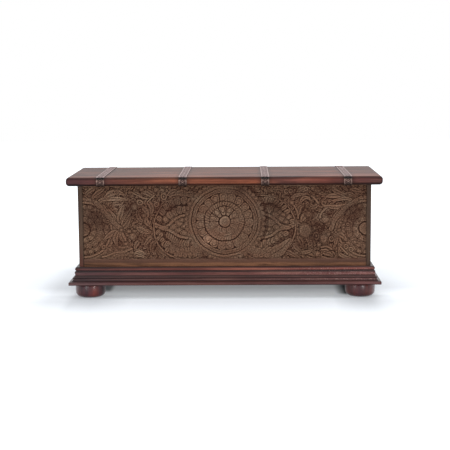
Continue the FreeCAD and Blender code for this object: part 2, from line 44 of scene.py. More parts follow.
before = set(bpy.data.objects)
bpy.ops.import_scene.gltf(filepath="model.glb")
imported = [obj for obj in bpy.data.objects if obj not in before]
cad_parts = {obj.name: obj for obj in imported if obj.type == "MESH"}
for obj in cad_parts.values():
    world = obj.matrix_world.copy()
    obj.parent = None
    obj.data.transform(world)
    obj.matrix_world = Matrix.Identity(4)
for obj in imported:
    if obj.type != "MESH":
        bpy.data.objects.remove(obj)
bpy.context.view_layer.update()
PANEL_LOW, PANEL_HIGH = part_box("front_panel")

MM = 0.001
FULL_TURN = 2 * math.pi


def display(red, green, blue):
    """A colour as it shows on a screen, 0 to 255 a channel, in Blender's own linear values."""
    shown = [channel / 255 for channel in (red, green, blue)]
    return tuple(((c + 0.055) / 1.055) ** 2.4 if c > 0.04045 else c / 12.92 for c in shown)


# Settings

class CarvingSettings(bpy.types.PropertyGroup):
    """The carved field of the front board."""
    margin_side: FloatProperty(
        name="Side margin", description="Plain edge left and right of the carving",
        default=1.5 * MM, unit="LENGTH")
    margin_foot: FloatProperty(
        name="Foot margin", description="Plain strip under the carving, behind the base moulding too",
        default=93 * MM, unit="LENGTH")
    margin_head: FloatProperty(
        name="Head margin", description="Plain strip over the carving",
        default=4 * MM, unit="LENGTH")
    depth: FloatProperty(
        name="Depth", description="From the face of the board down to the ground of the carving",
        default=8 * MM, unit="LENGTH")
    cell: FloatProperty(
        name="Cell", description="Size of a cell of the carved mesh",
        default=1.45 * MM, unit="LENGTH")
    gutter: FloatProperty(
        name="Gutter", description="Width of the cut round each form",
        default=1.9 * MM, unit="LENGTH")
    sprig_spacing: FloatProperty(
        name="Sprig spacing", description="Least distance between the small leaves of the ground",
        default=8.5 * MM, unit="LENGTH")
    cut_share: FloatProperty(
        name="Cut", description="How far a cut goes down through what it crosses", default=0.7,
        subtype="FACTOR")
    ground: FloatProperty(
        name="Ground", description="Height of the bare ground as a share of the depth", default=0.28,
        subtype="FACTOR")
    unevenness: FloatProperty(
        name="Unevenness", description="How far the carver's lines stray", default=1.6 * MM, unit="LENGTH")
    chisel: FloatProperty(
        name="Chisel marks", description="Height of the chisel marks as a share of the depth", default=0.16,
        subtype="FACTOR")
    seed: IntProperty(name="Seed", description="Seed of the small leaves and the chisel marks", default=7)


class StrapSettings(bpy.types.PropertyGroup):
    """The embossed straps over the lid and the nails that hold them."""
    nose_radius: FloatProperty(
        name="Nose radius", description="Rounding of the lid's edges", default=13.75 * MM, unit="LENGTH")
    bed: FloatProperty(
        name="Bed", description="Gap between the lid and a strap", default=0.1 * MM, unit="LENGTH")
    rim_width: FloatProperty(
        name="Rim width", description="Width of the raised rim along each edge of a strap",
        default=4.6 * MM, unit="LENGTH")
    rim_height: FloatProperty(
        name="Rim height", description="From the floor of a strap's channel up to its rims",
        default=1.0 * MM, unit="LENGTH")
    bead_pitch: FloatProperty(
        name="Bead pitch", description="From one bead of a rim to the next", default=4.4 * MM, unit="LENGTH")
    motif_pitch: FloatProperty(
        name="Motif pitch", description="From one cross of the channel to the next",
        default=15 * MM, unit="LENGTH")
    motif_height: FloatProperty(
        name="Motif height", description="Height of the crosses and studs in the channel",
        default=0.8 * MM, unit="LENGTH")
    cell: FloatProperty(
        name="Strap cell", description="Size of a cell of a strap's mesh", default=0.97 * MM, unit="LENGTH")
    nail_radius: FloatProperty(
        name="Nail head", description="Radius of a nail's domed head", default=3.2 * MM, unit="LENGTH")


class StudioSettings(bpy.types.PropertyGroup):
    """The camera, the lamps and the floor."""
    camera_place: FloatVectorProperty(
        name="Camera place", description="Where the camera stands",
        default=(0.0866, -4.5417, 0.8993), subtype="XYZ", unit="LENGTH")
    camera_yaw: FloatProperty(
        name="Yaw", description="Turn of the camera to the right", default=-0.0193, unit="ROTATION")
    camera_pitch: FloatProperty(
        name="Pitch", description="Tilt of the camera downwards", default=0.140, unit="ROTATION")
    camera_roll: FloatProperty(
        name="Roll", description="Roll of the camera", default=-0.0075, unit="ROTATION")
    lens: FloatProperty(name="Lens", description="Focal length in millimetres", default=90.51)
    ambient: FloatProperty(
        name="Ambient light", description="Strength of the light from all round", default=0.75)
    room: FloatProperty(
        name="Room", description="How bright the room in front looks in gloss", default=0.3)
    sky: FloatProperty(
        name="Overhead light", description="Strength of the wide soft light from above", default=1.6)
    key: FloatProperty(
        name="Key light", description="Strength of the light from above in front", default=0.85)
    front_lamp: FloatProperty(
        name="Front lamps", description="Power of the right lamp in front; the left one has a share of it",
        default=24, unit="POWER")
    floor_glow: FloatProperty(
        name="Floor glow", description="What the camera sees added to the lit floor", default=0.24)


def field_span():
    """The carved field: its low and high corner as (x, z)."""
    carving = bpy.context.scene.chest_carving
    low = (PANEL_LOW.x + carving.margin_side, PANEL_LOW.z + carving.margin_foot)
    high = (PANEL_HIGH.x - carving.margin_side, PANEL_HIGH.z - carving.margin_head)
    return low, high


# Shader nodes

class Nodes:
    """A node tree and short ways to add to it."""

    def __init__(self, tree):
        self.tree = tree
        self.source = self.add("ShaderNodeTexCoord")
        self.place = self.source.outputs["Object"]

    def add(self, kind, **inputs):
        node = self.tree.nodes.new(kind)
        for name, source in inputs.items():
            self.feed(node.inputs[name.replace("_", " ")], source)
        return node

    def feed(self, socket, source):
        """Link a node's output to a socket, or set the socket to a plain value."""
        if isinstance(source, bpy.types.NodeSocket):
            self.tree.links.new(source, socket)
        else:
            socket.default_value = source

    def stretched(self, stretch, source=None):
        """Coordinates multiplied along each axis."""
        return self.add("ShaderNodeMapping", Vector=source or self.place, Scale=stretch).outputs[0]

    def noise(self, vector, scale, detail=4.0, rough=0.55, distortion=0.0):
        node = self.add("ShaderNodeTexNoise", Vector=vector, Scale=scale, Detail=detail, Roughness=rough,
                        Distortion=distortion)
        return node.outputs["Fac"]

    def ramp(self, source, *stops):
        """Colours or greys at places from 0 to 1."""
        node = self.add("ShaderNodeValToRGB", Fac=source)
        band = node.color_ramp
        while len(band.elements) < len(stops):
            band.elements.new(1)
        for element, (place, colour) in zip(band.elements, stops):
            element.position = place
            grey = isinstance(colour, (int, float))
            element.color = (colour, colour, colour, 1) if grey else (*colour, 1)
        return node.outputs["Color"]

    def mix(self, share, first, second, blend="MIX"):
        """Two colours mixed."""
        node = self.add("ShaderNodeMix")
        node.data_type = "RGBA"
        node.blend_type = blend
        self.feed(node.inputs["Factor"], share)
        for name, colour in (("A", first), ("B", second)):
            socket = next(twin for twin in node.inputs if twin.name == name and twin.type == "RGBA")
            plain = isinstance(colour, tuple) and len(colour) == 3
            self.feed(socket, (*colour, 1) if plain else colour)
        return next(out for out in node.outputs if out.type == "RGBA")

    def blend(self, share, first, second):
        """Two shaders mixed."""
        node = self.add("ShaderNodeMixShader", Fac=share)
        self.feed(node.inputs[1], first)
        self.feed(node.inputs[2], second)
        return node.outputs[0]

    def sum(self, operation, first, second=0):
        """Two values reckoned together."""
        node = self.add("ShaderNodeMath")
        node.operation = operation
        self.feed(node.inputs[0], first)
        self.feed(node.inputs[1], second)
        return node.outputs[0]

    def along(self, axis, kind="Object"):
        """One coordinate of a point, or with kind Normal of its normal."""
        return self.add("ShaderNodeSeparateXYZ", Vector=self.source.outputs[kind]).outputs[axis]

    def span(self, source, low, high, first=0, last=1):
        """A value from low to high, turned into a share from 0 to 1 or into other limits."""
        node = self.add("ShaderNodeMapRange", Value=source, From_Min=low, From_Max=high, To_Min=first,
                        To_Max=last)
        return node.outputs["Result"]

    def between(self, axis, low, high):
        """How far a point is along an axis, as a share from 0 at low to 1 at high."""
        return self.span(self.along(axis), low, high)

    def facing(self, axis, low, high):
        """How far the surface faces along an axis, as a share from 0 at low to 1 at high."""
        return self.span(self.along(axis, "Normal"), low, high)

    def marked(self, name):
        """A mark that the mesh carries at each of its points."""
        node = self.add("ShaderNodeAttribute")
        node.attribute_name = name
        return node.outputs["Fac"]

    def bump(self, height, strength, distance, below=None):
        """Normal of a surface with small heights on it, over those of a normal below."""
        node = self.add("ShaderNodeBump", Height=height, Strength=strength, Distance=distance)
        if below:
            self.feed(node.inputs["Normal"], below)
        return node.outputs["Normal"]


class Finish(Nodes):
    """A material: the nodes that it is mixed from, and its shader."""

    def __init__(self, name, gloss=0.5):
        self.material = bpy.data.materials.new(name)
        self.material.use_nodes = True
        super().__init__(self.material.node_tree)
        self.shader = self.tree.nodes["Principled BSDF"]
        self.set("Roughness", gloss)

    def set(self, name, source):
        self.feed(self.shader.inputs[name], source)

    def layer(self, share, colour, blend="MIX"):
        """Lay a colour over the base colour."""
        below = self.shader.inputs["Base Color"].links[0].from_socket
        self.set("Base Color", self.mix(share, below, colour, blend))

    def tint(self, source, *stops, share=1.0):
        """Multiply the base colour by the stops of a ramp."""
        self.layer(share, self.ramp(source, *stops), "MULTIPLY")


# Wood. A stain is its dark, middle and light colour, as shown on a screen.

GRAIN = {"x": (1, 14, 14), "y": (14, 1, 14), "z": (14, 14, 1)}
FIGURE_SCALE = 2.2
PORE_DEPTH = 0.4 * MM
STREAK_DEPTH = 0.6 * MM
LID_STAIN = ((80, 43, 38), (122, 74, 58), (160, 102, 78))
CASE_STAIN = ((44, 22, 19), (70, 38, 31), (94, 56, 44))
MOULDING_STAIN = ((52, 27, 26), (86, 50, 46), (116, 76, 66))
FOOT_STAIN = ((46, 14, 17), (77, 30, 33), (102, 44, 42))
INNER_STAIN = ((120, 84, 58), (158, 116, 80), (186, 144, 104))


def wood(name, along, stain, gloss=0.4, coat=0.0, coat_gloss=0.2, coat_index=1.3):
    """Stained wood with its grain along one axis: broad figure, fine streaks and open pores."""
    dark, middle, light = (display(*colour) for colour in stain)
    made = Finish(name, gloss)
    each = made.add("ShaderNodeObjectInfo").outputs["Random"]
    shifted = made.add("ShaderNodeVectorMath", Vector=made.place)
    shifted.operation = "ADD"
    made.feed(shifted.inputs[1], made.add("ShaderNodeCombineXYZ", X=each, Y=each, Z=each).outputs[0])
    drawn = made.stretched(GRAIN[along], shifted.outputs[0])
    broad = made.noise(drawn, FIGURE_SCALE, 5.0, 0.6, 0.6)
    streaks = made.noise(drawn, FIGURE_SCALE * 9, 3.0, 0.6)
    pores = made.noise(made.stretched(GRAIN[along], drawn), FIGURE_SCALE * 5, 2.0, 0.5)
    clouds = made.noise(shifted.outputs[0], 4.0, 2.0)
    tone = made.ramp(broad, (0.28, dark), (0.5, middle), (0.74, light))
    streaked = made.mix(0.55, tone, made.ramp(streaks, (0.3, 0.45), (0.62, 1.0)), "MULTIPLY")
    made.set("Base Color", made.mix(made.ramp(pores, (0.3, 0.55), (0.42, 0.0)), streaked, dark))
    made.tint(clouds, (0.3, 0.6), (0.7, 1.25), share=0.5)
    made.set("Roughness", made.ramp(streaks, (0.2, gloss + 0.12), (0.8, gloss - 0.05)))
    made.set("Specular IOR Level", 0.12)
    made.set("Coat Weight", coat)
    made.set("Coat Roughness", coat_gloss)
    made.set("Coat IOR", coat_index)
    made.set("Normal", made.bump(pores, 0.35, PORE_DEPTH, made.bump(streaks, 0.2, STREAK_DEPTH)))
    return made


# Meshes and nodes

def paint(made, *nodes):
    """Give CAD nodes the finish."""
    for node in nodes:
        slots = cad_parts[node].data.materials
        slots.clear()
        slots.append(made.material)


def named(*starts):
    """The CAD nodes whose names begin so."""
    return [node for node in sorted(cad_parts) if node.startswith(starts)]


def new_object(name, data):
    """An object in the scene."""
    thing = bpy.data.objects.new(name, data)
    bpy.context.scene.collection.objects.link(thing)
    return thing


def mesh_piece(name, points, faces, made, body, nodes):
    """A modelled piece that stands for CAD nodes."""
    mesh = bpy.data.meshes.new(name)
    mesh.from_pydata(points, [], faces)
    mesh.polygons.foreach_set("use_smooth", [True] * len(mesh.polygons))
    mesh.materials.append(made.material)
    mesh.update()
    thing = new_object(name, mesh)
    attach(thing, body)
    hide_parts(*nodes)
    return thing


def mark(thing, name, values):
    """Give each point of a piece a value that its finish reads."""
    field = thing.data.attributes.new(name, "FLOAT", "POINT")
    field.data.foreach_set("value", values.astype(np.float32))


def grid_faces(index):
    """Four-cornered faces between the rows and columns of a grid of points."""
    return np.stack([index[:-1, :-1], index[:-1, 1:], index[1:, 1:], index[1:, :-1]], -1).reshape(-1, 4)


def around(centre, radius, turn):
    """The point at a distance from a centre, in a direction."""
    return centre[0] + radius * math.cos(turn), centre[1] + radius * math.sin(turn)


# Carved front. Places on the board are (x, z) in millimetres from the middle of the chest and
# the floor, as on a carver's drawing. Heights are shares of the carving's depth.

MEDALLION = (1, 299)
# Middle of the scalloped border's sunk ground, a little off the medallion's own
BORDER_GROUND = (9, 303)
EYE = (150, 274)
EYE_RADIUS = 129
END_ROSETTE = (550, 268)
# Distance of the groove inside the edge of a plain lobe
LOBE_GROOVE = 3.4


class Carver:
    """Heights of the carved field, as shares of its depth, and the cuts that shape them."""

    def __init__(self, across, up, settings):
        self.across = across
        self.up = up
        self.stray = settings.unevenness / MM
        x, z = np.meshgrid(across, up)
        self.x = x + self.stray * np.sin(x / 23 + 1.9 * np.sin(z / 31)) * np.cos(z / 17)
        self.z = z + self.stray * np.sin(z / 21 + 1.7 * np.sin(x / 37)) * np.cos(x / 19)
        self.height = np.full_like(x, settings.ground)
        self.gutter = settings.gutter / MM
        self.cut_share = settings.cut_share

    def window(self, low, high):
        """The part of the field between two corners."""
        rows = slice(*np.searchsorted(self.up, (low[1] - self.stray, high[1] + self.stray)))
        columns = slice(*np.searchsorted(self.across, (low[0] - self.stray, high[0] + self.stray)))
        return rows, columns

    def cut(self, part, outside, form, share=None):
        """Set a form where outside is negative, and cut a gutter round it."""
        fall = np.clip(outside / self.gutter, 0, 1)
        left = 1 - (share or self.cut_share) * (1 - fall * fall * (3 - 2 * fall))
        self.height[part] = np.where(outside <= 0, form, self.height[part] * left)

    def profile(self, inside, top, foot, shoulder=3.5, groove=0.0):
        """Height at a distance inside the edge of a form: a round shoulder, and a fine groove along it."""
        rise = np.clip(inside / shoulder, 0, 1)
        height = foot + (top - foot) * np.sqrt(1 - (1 - rise) ** 2)
        if groove:
            height = height - self.scratch(inside - groove, 0.42)
        return height

    def scratch(self, away, depth, width=1.35):
        """Fine V cut at a distance of zero."""
        return depth * np.exp(-(away / width) ** 2)

    def polar(self, centre, reach):
        """For each cell near a centre: the part, the way across and up, the distance and the turn."""
        part = self.window((centre[0] - reach, centre[1] - reach), (centre[0] + reach, centre[1] + reach))
        x = self.x[part] - centre[0]
        z = self.z[part] - centre[1]
        return part, x, z, np.hypot(x, z), np.arctan2(z, x)

    def lower(self, centre, radius, share):
        """Sink what lies within a circle."""
        part, _, _, far, _ = self.polar(centre, radius)
        self.height[part] *= np.where(far < radius, share, 1)

    def sink(self, centre, radius, depth):
        """Sink the field smoothly round a place."""
        part, _, _, far, _ = self.polar(centre, 2 * radius)
        self.height[part] *= 1 - depth * np.exp(-(far / radius) ** 2)

    def rub(self, centre, radius, share, level=0.8):
        """Wear the field round a place towards one level."""
        part, _, _, far, _ = self.polar(centre, 2 * radius)
        worn = share * np.exp(-(far / radius) ** 2)
        self.height[part] += worn * (level - self.height[part])

    def arc(self, centre, radius, depth, width, towards):
        """Ring cut that is deepest on one side and fades out on the other."""
        part, _, _, far, turn = self.polar(centre, radius + 3 * width)
        fade = np.clip(0.35 + 0.65 * np.cos(turn - towards), 0, 1)
        cut = self.height[part] - self.scratch(far - radius, depth, width) * fade
        self.height[part] = np.maximum(cut, 0.1)

    def swell(self, centre, radius, count, start, length, width):
        """A raised oval in the middle of each petal of a ring."""
        for number in range(count):
            turn = start + (number + 0.5) * FULL_TURN / count
            self.lobe(around(centre, radius, turn), length, width, turn, top=0.97, foot=0.6, shoulder=4.0)

    def lobe(self, centre, length, width, angle=0.0, top=0.9, foot=0.5, ribs=0, groove=0.0, ring=0.0,
             shoulder=4.5):
        """Oval lobe: plain, ribbed from end to end, outlined by a groove, or a ring round a bead."""
        part, x, z, _, _ = self.polar(centre, max(length, width) + self.gutter)
        along = (x * math.cos(angle) + z * math.sin(angle)) / length
        aside = (z * math.cos(angle) - x * math.sin(angle)) / width
        spread = np.hypot(along, aside)
        inside = (1 - spread) * min(length, width)
        form = self.profile(inside, top, foot, shoulder, groove)
        if ribs:
            wave = (aside * 0.5 / np.sqrt(np.clip(1.05 - along ** 2, 0.05, 1)) + 0.5) * ribs
            form = form - self.scratch((wave - np.round(wave)) * 2 * width / ribs, 0.36) * (inside > 0.8)
        if ring:
            hole = min(length, width) * ring
            form = form - 0.5 * np.clip((inside - (1 - ring) * min(length, width)) / 1.5, 0, 1)
            form = form + 0.5 * np.clip((hole * 0.45 - spread * min(length, width)) / 1.2, 0, 1)
        self.cut(part, -inside, form)

    def ring(self, centre, inner, outer, top=0.9, foot=0.4, flutes=0, shoulder=3.0, slant=0.0, share=None,
             groove=0.0):
        """Ring about a centre, plain or cut across into flutes."""
        part, _, _, far, turn = self.polar(centre, outer + self.gutter)
        half = (outer - inner) / 2
        inside = half - np.abs(far - inner - half)
        form = self.profile(inside, top, foot, shoulder, groove)
        if flutes:
            wave = turn / FULL_TURN * flutes + slant * (far - inner) / half
            form = form - self.scratch((wave - np.round(wave)) * FULL_TURN * far / flutes, 0.45, 2.0)
        self.cut(part, -inside, form, share)

    def petals(self, centre, inner, outer, count, top=0.9, foot=0.5, start=0.0, groove=0.0, round_end=0.3,
               dish=0.0, shoulder=3.0, share=None, gap=0.0):
        """Ring of petals; each may have a groove along its edge, a dish, and a gap on each side."""
        part, _, _, far, turn = self.polar(centre, outer + self.gutter)
        step = FULL_TURN / count
        local = (turn - start) % step - step / 2
        along = (far - inner) / (outer - inner)
        tip = np.sqrt(np.clip(1 - (np.clip(along - 1 + round_end, 0, None) / round_end) ** 2, 0, 1))
        half = np.maximum(far * math.tan(step / 2) * tip - gap, 0.01)
        side = np.abs(far * np.sin(local))
        inside = np.minimum(half - side, np.minimum(far - inner, outer - far) + 0.5)
        form = self.profile(inside, top, foot, shoulder, groove)
        if dish:
            form = form - dish * np.clip((inside - groove) / 4, 0, 1)
        self.cut(part, -inside, form, share)

    def line(self, points, pieces=10):
        """A smooth line through points, sampled finely."""
        ends = [2 * np.array(points[0]) - points[1], *map(np.array, points),
                2 * np.array(points[-1]) - points[-2]]
        samples = []
        for before, first, second, after in zip(ends, ends[1:], ends[2:], ends[3:]):
            for step in range(pieces):
                t = step / pieces
                samples.append(0.5 * (2 * first + (second - before) * t
                                      + (2 * before - 5 * first + 4 * second - after) * t ** 2
                                      + (3 * first - before - 3 * second + after) * t ** 3))
        return np.array([*samples, ends[-2]])

    def beside(self, path, reach):
        """For each cell near a path: the part, the way along it, its distance and its side."""
        part = self.window(path.min(0) - reach, path.max(0) + reach)
        x = self.x[part]
        z = self.z[part]
        best = np.full(x.shape, np.inf)
        way = np.zeros_like(x)
        side = np.zeros_like(x)
        steps = np.hypot(*np.diff(path, axis=0).T)
        gone = np.concatenate(([0], np.cumsum(steps)))
        for start, end, length, before in zip(path, path[1:], steps, gone):
            run = (end - start) / length
            ahead = np.clip((x - start[0]) * run[0] + (z - start[1]) * run[1], 0, length)
            dx = x - start[0] - run[0] * ahead
            dz = z - start[1] - run[1] * ahead
            far = np.hypot(dx, dz)
            near = far < best
            best[near] = far[near]
            way[near] = (before + ahead)[near]
            side[near] = np.sign(run[0] * dz - run[1] * dx)[near]
        return part, way, best, side, gone[-1]

    def ribbon(self, points, width, top=0.95, foot=0.5, grooves=0, taper=0.0, pieces=8):
        """Band along a line, with fine grooves that run along it."""
        path = self.line(points, pieces)
        part, way, far, side, length = self.beside(path, width / 2 + self.gutter)
        half = width / 2 * (1 - taper * way / length)
        inside = half - far
        form = self.profile(inside, top, foot, min(3.0, width / 3))
        if grooves:
            lane = (far * side / half + 1) / 2 * (grooves + 1)
            away = (lane - np.round(lane)) * width / (grooves + 1)
            form = form - self.scratch(away, 0.35, 0.9) * (inside > 0.8)
        self.cut(part, -inside, form)

    def leaf(self, points, width, top=0.9, foot=0.5, veins=0.0):
        """Leaf along a line: pointed at its end, with a middle rib and slanting veins."""
        path = self.line(points, 5)
        part, way, far, _, length = self.beside(path, width / 2 + self.gutter)
        share = np.clip(way / length, 0.02, 0.995)
        half = width / 2 * np.sin(math.pi * share ** 0.6) ** 0.7
        inside = np.maximum(half, 0.3) - far
        form = self.profile(inside, top, foot, 3.0)
        if veins:
            wave = (way - far * 0.9) / veins
            form = form - self.scratch((wave - np.round(wave)) * veins, 0.34) * (inside > 1)
        form = form - self.scratch(far, 0.34)
        self.cut(part, -inside, form)

    def fan(self, inner, outer, ribs):
        """Split ribs side by side from an inner line to just past an outer one."""
        middle_share = 0.56
        share = np.linspace(0, 1, ribs * 2 + 1)
        ends = []
        for points in (inner, outer):
            path = self.line(points, 6)
            place = np.linspace(0, 1, len(path))
            ends.append(np.column_stack([np.interp(share, place, path[:, k]) for k in (0, 1)]))
        low, high = ends
        for number in range(ribs):
            begin = low[2 * number + 1]
            run = high[2 * number + 1] - begin
            width = math.dist(high[2 * number], high[2 * number + 2]) * 0.54
            self.lobe(tuple(begin + run * middle_share), math.hypot(*run) * middle_share, width,
                      math.atan2(run[1], run[0]), top=0.92, ribs=2, shoulder=3.0)

    def scroll(self, centre, radius, start, turns, width, top=0.9):
        """Curl that winds inwards to a bead."""
        path = [around(centre, radius * (1 - 0.72 * step), start + FULL_TURN * turns * step)
                for step in np.linspace(0, 1, int(8 * abs(turns)) + 3)]
        self.ribbon(path, width, top, taper=0.4, pieces=2)
        self.lobe(centre, width * 0.62, width * 0.62, top=top)


def flipped(side, *points):
    """Points drawn for the left half, mirrored for the right half if side is 1."""
    return [(-side * x, z) for x, z in points]


# Ground: how many places are tried, and the draws below which a place gets a leaf or a ribbed lobe; the
# rest get a curl.
TRIES = 9000
LEAF_SHARE = 0.66
LOBE_SHARE = 0.85


def scattered(low, high, spacing, chance):
    """Places over the field, each at least the spacing away from the others."""
    size = (high[0] - low[0], high[1] - low[1])
    placed = []
    taken = {}
    for _ in range(TRIES):
        x = low[0] + size[0] * chance.random()
        z = low[1] + size[1] * chance.random()
        cell = (int(x // spacing), int(z // spacing))
        close = [taken.get((cell[0] + a, cell[1] + b), ()) for a in (-1, 0, 1) for b in (-1, 0, 1)]
        if any(math.hypot(x - p, z - q) < spacing for group in close for p, q in group):
            continue
        taken.setdefault(cell, []).append((x, z))
        placed.append((x, z))
    return placed


def carve_ground(carver, spacing, seed):
    """Small leaves packed over the whole field, turned by slow swirls."""
    chance = np.random.default_rng(seed)
    low = (carver.across[0], carver.up[0])
    high = (carver.across[-1], carver.up[-1])
    for x, z in scattered(low, high, spacing, chance):
        turn = 2.4 * math.sin(x / 61 + 1.3) + 1.9 * math.sin(z / 37 + x / 93)
        length = spacing * (1.1 + 0.5 * chance.random())
        kind = chance.random()
        top = 0.62 + 0.24 * chance.random()
        if kind < LEAF_SHARE:
            bend = 0.7 * (chance.random() - 0.5)
            points = [around((x, z), -length, turn), (x, z), around((x, z), length, turn + bend)]
            carver.leaf(points, spacing * 1.3, top=top, foot=0.35)
        elif kind < LOBE_SHARE:
            carver.lobe((x, z), spacing * 0.95, spacing * 0.72, turn, top=top, foot=0.35, ribs=2, shoulder=3)
        else:
            carver.scroll((x, z), spacing * 0.8, turn, 1.2, spacing * 0.5, top=top)


# Central medallion: how many gadroons and petals, and the turn at which the first one starts
GADROONS = 19
GADROON_START = 0.124
PETALS = 11
PETAL_START = 0.3
# Ring cuts that fade out on one side: radius, depth, width and the turn where they are deepest
RIM_CUTS = ((78.5, 0.5, 2.1, -1.9), (23.0, 0.5, 2.2, -2.2), (128.8, 0.35, 2.0, -2.5))
# Places of the medallion that are worn: x, z and radius; and how far they are
RUBBED_SHARE = 0.75
RUBBED = ((46, 296, 18), (-46, 292, 16), (20, 396, 24), (0, 246, 42), (48, 262, 40), (-46, 258, 30),
          (62, 338, 30), (-62, 352, 26), (-88, 322, 22), (104, 292, 26), (70, 222, 24), (0, 205, 20),
          (-118, 262, 30), (-96, 196, 26), (96, 190, 24), (0, 436, 30))


def carve_medallion(carver):
    """Central medallion from its rim inwards: scallops, bands, gadroons, fluted ring, petals and boss."""
    carver.lower(BORDER_GROUND, 163, 0.55)
    carver.petals(MEDALLION, 142, 159, 46, top=0.9, groove=3.2, round_end=0.7, foot=0.4, dish=0.15, share=0.5)
    carver.lower(MEDALLION, 142, 0.7)
    carver.ring(MEDALLION, 129.5, 141, top=0.78, shoulder=5.5, foot=0.6, share=0.15)
    carver.ring(MEDALLION, 113, 128, top=0.86, shoulder=5, foot=0.5, share=0.6, groove=5.5)
    carver.lower(MEDALLION, 112.5, 0.85)
    carver.petals(MEDALLION, 80, 112, GADROONS, top=0.87, round_end=0.3, foot=0.4, start=GADROON_START,
                  shoulder=5.0, share=0.3, gap=0.9)
    carver.swell(MEDALLION, 94, GADROONS, GADROON_START, 12, 9)
    carver.lower(MEDALLION, 79, 0.7)
    carver.ring(MEDALLION, 60, 77, top=0.88, flutes=44, slant=0.2, foot=0.65, share=0.1)
    carver.petals(MEDALLION, 24, 59.5, PETALS, top=0.85, round_end=0.15, foot=0.35, start=PETAL_START,
                  shoulder=5.0, share=0.5, gap=1.5)
    carver.swell(MEDALLION, 46, PETALS, PETAL_START, 11, 7)
    carver.lower(MEDALLION, 24, 0.5)
    carver.lobe(MEDALLION, 21.5, 21.5, top=1.0, foot=0.6, shoulder=3)
    for x, z, radius in RUBBED:
        carver.rub((x, z), radius, RUBBED_SHARE)
    for radius, depth, width, towards in RIM_CUTS:
        carver.arc(MEDALLION, radius, depth, width, towards)


# The eye medallions. A lobe is x, z, length, width, turn and ribs; a ring is x, z and radius. The gains
# are on the lobes' length and width.
LENGTH_GAIN = 1.12
WIDTH_GAIN = 1.15
STEM_UPPER = ((-268, 290), (-254, 282), (-232, 280), (-216, 286), (-203, 299), (-187, 313), (-168, 322),
              (-148, 324))
STEM_LOWER = ((-268, 280), (-244, 270), (-220, 267), (-204, 259), (-188, 247), (-172, 239), (-150, 235),
              (-134, 234))
STEM_FORK = (-238, 275)
FAN_ROOT = ((-226, 258), (-208, 253), (-190, 241), (-174, 231), (-152, 227), (-136, 226))
FAN_EDGE = ((-228, 238), (-218, 228), (-206, 218), (-193, 210), (-181, 204), (-161, 198), (-138, 202))
OUTER_LOBES = ((-253, 312, 12, 10, 2.5, 3), (-240, 337, 13, 11, 2.2, 3), (-226, 358, 13, 11, 2.0, 3),
               (-205, 372, 14, 12, 1.8, 4), (-180, 379, 15, 13, 1.6, 5), (-155, 382, 14, 12, 1.5, 4),
               (-131, 380, 13, 11, 1.3, 3), (-260, 257, 11, 8, 3.8, 3), (-248, 245, 10, 8, 3.9, 2),
               (-258, 232, 9, 7, 3.9, 2), (-244, 226, 9, 7, 4.0, 2))
INNER_LOBES = ((-228, 309, 12, 11, 2.2, 0), (-211, 325, 13, 12, 2.1, 2), (-192, 337, 15, 12, 2.0, 4),
               (-173, 345, 15, 12, 1.8, 4), (-154, 345, 13, 11, 1.6, 3), (-137, 350, 13, 10, 1.5, 3),
               (-137, 330, 12, 9, 1.5, 2), (-136, 311, 11, 9, 1.4, 2))
LOWER_LOBES = ((-236, 212, 11, 10, 4.1, 2), (-222, 207, 15, 12, 4.2, 4), (-204, 189, 16, 15, 4.3, 0),
               (-224, 188, 10, 8, 4.1, 2), (-184, 185, 11, 10, 4.5, 0), (-165, 188, 12, 10, 4.6, 0),
               (-145, 186, 12, 10, 4.7, 2), (-124, 190, 12, 10, 4.8, 2), (-172, 169, 11, 8, 4.6, 2),
               (-154, 166, 11, 8, 4.7, 2), (-135, 168, 11, 8, 4.8, 2), (-115, 172, 11, 9, 4.9, 2),
               (-190, 168, 10, 8, 4.5, 2), (-96, 168, 11, 8, 5.0, 2), (-105, 186, 11, 9, 5.0, 2))
LEFT_BERRIES = ((-176, 292, 15, 12, -0.3, 0), (-196, 278, 13, 10, 0.2, 0), (-158, 279, 10, 8, 0.4, 0),
                (-178, 262, 13, 9, 0.1, 0), (-156, 253, 16, 10, 0.0, 0), (-165, 306, 11, 8, 0.3, 0),
                (-149, 304, 9, 8, 0.3, 0))
LEFT_RINGS = ((-145, 290, 9), (-137, 267, 10))
RIGHT_LEAF = ((176, 164), (212, 184), (238, 206), (262, 232))
RIGHT_LOBES = ((163, 383, 13, 12, 1.4, 3), (181, 382, 12, 11, 1.2, 3), (200, 374, 12, 9, 0.9, 2),
               (217, 364, 12, 8, 0.7, 2), (232, 350, 12, 8, 0.6, 2), (243, 334, 12, 9, 0.5, 2),
               (250, 314, 12, 10, 0.3, 0), (262, 300, 10, 8, 0.2, 2), (143, 381, 12, 11, 1.6, 3),
               (152, 352, 12, 10, 1.6, 0), (176, 345, 22, 16, 0.3, 0), (200, 342, 11, 10, 0.6, 0),
               (214, 330, 11, 10, 0.6, 0), (229, 322, 12, 10, 0.4, 0), (222, 308, 15, 11, -0.3, 0),
               (198, 324, 15, 12, -0.2, 0), (240, 297, 11, 8, -0.3, 0), (150, 332, 12, 8, 1.6, 0),
               (177, 291, 21, 15, 0.1, 0), (207, 274, 18, 9, -0.25, 0), (171, 268, 16, 10, 0.1, 0),
               (163, 252, 14, 9, 0.2, 0), (181, 256, 8, 7, 0.0, 0), (150, 300, 10, 9, 1.0, 0),
               (146, 276, 9, 9, 0.0, 0), (142, 258, 9, 8, 0.0, 0))
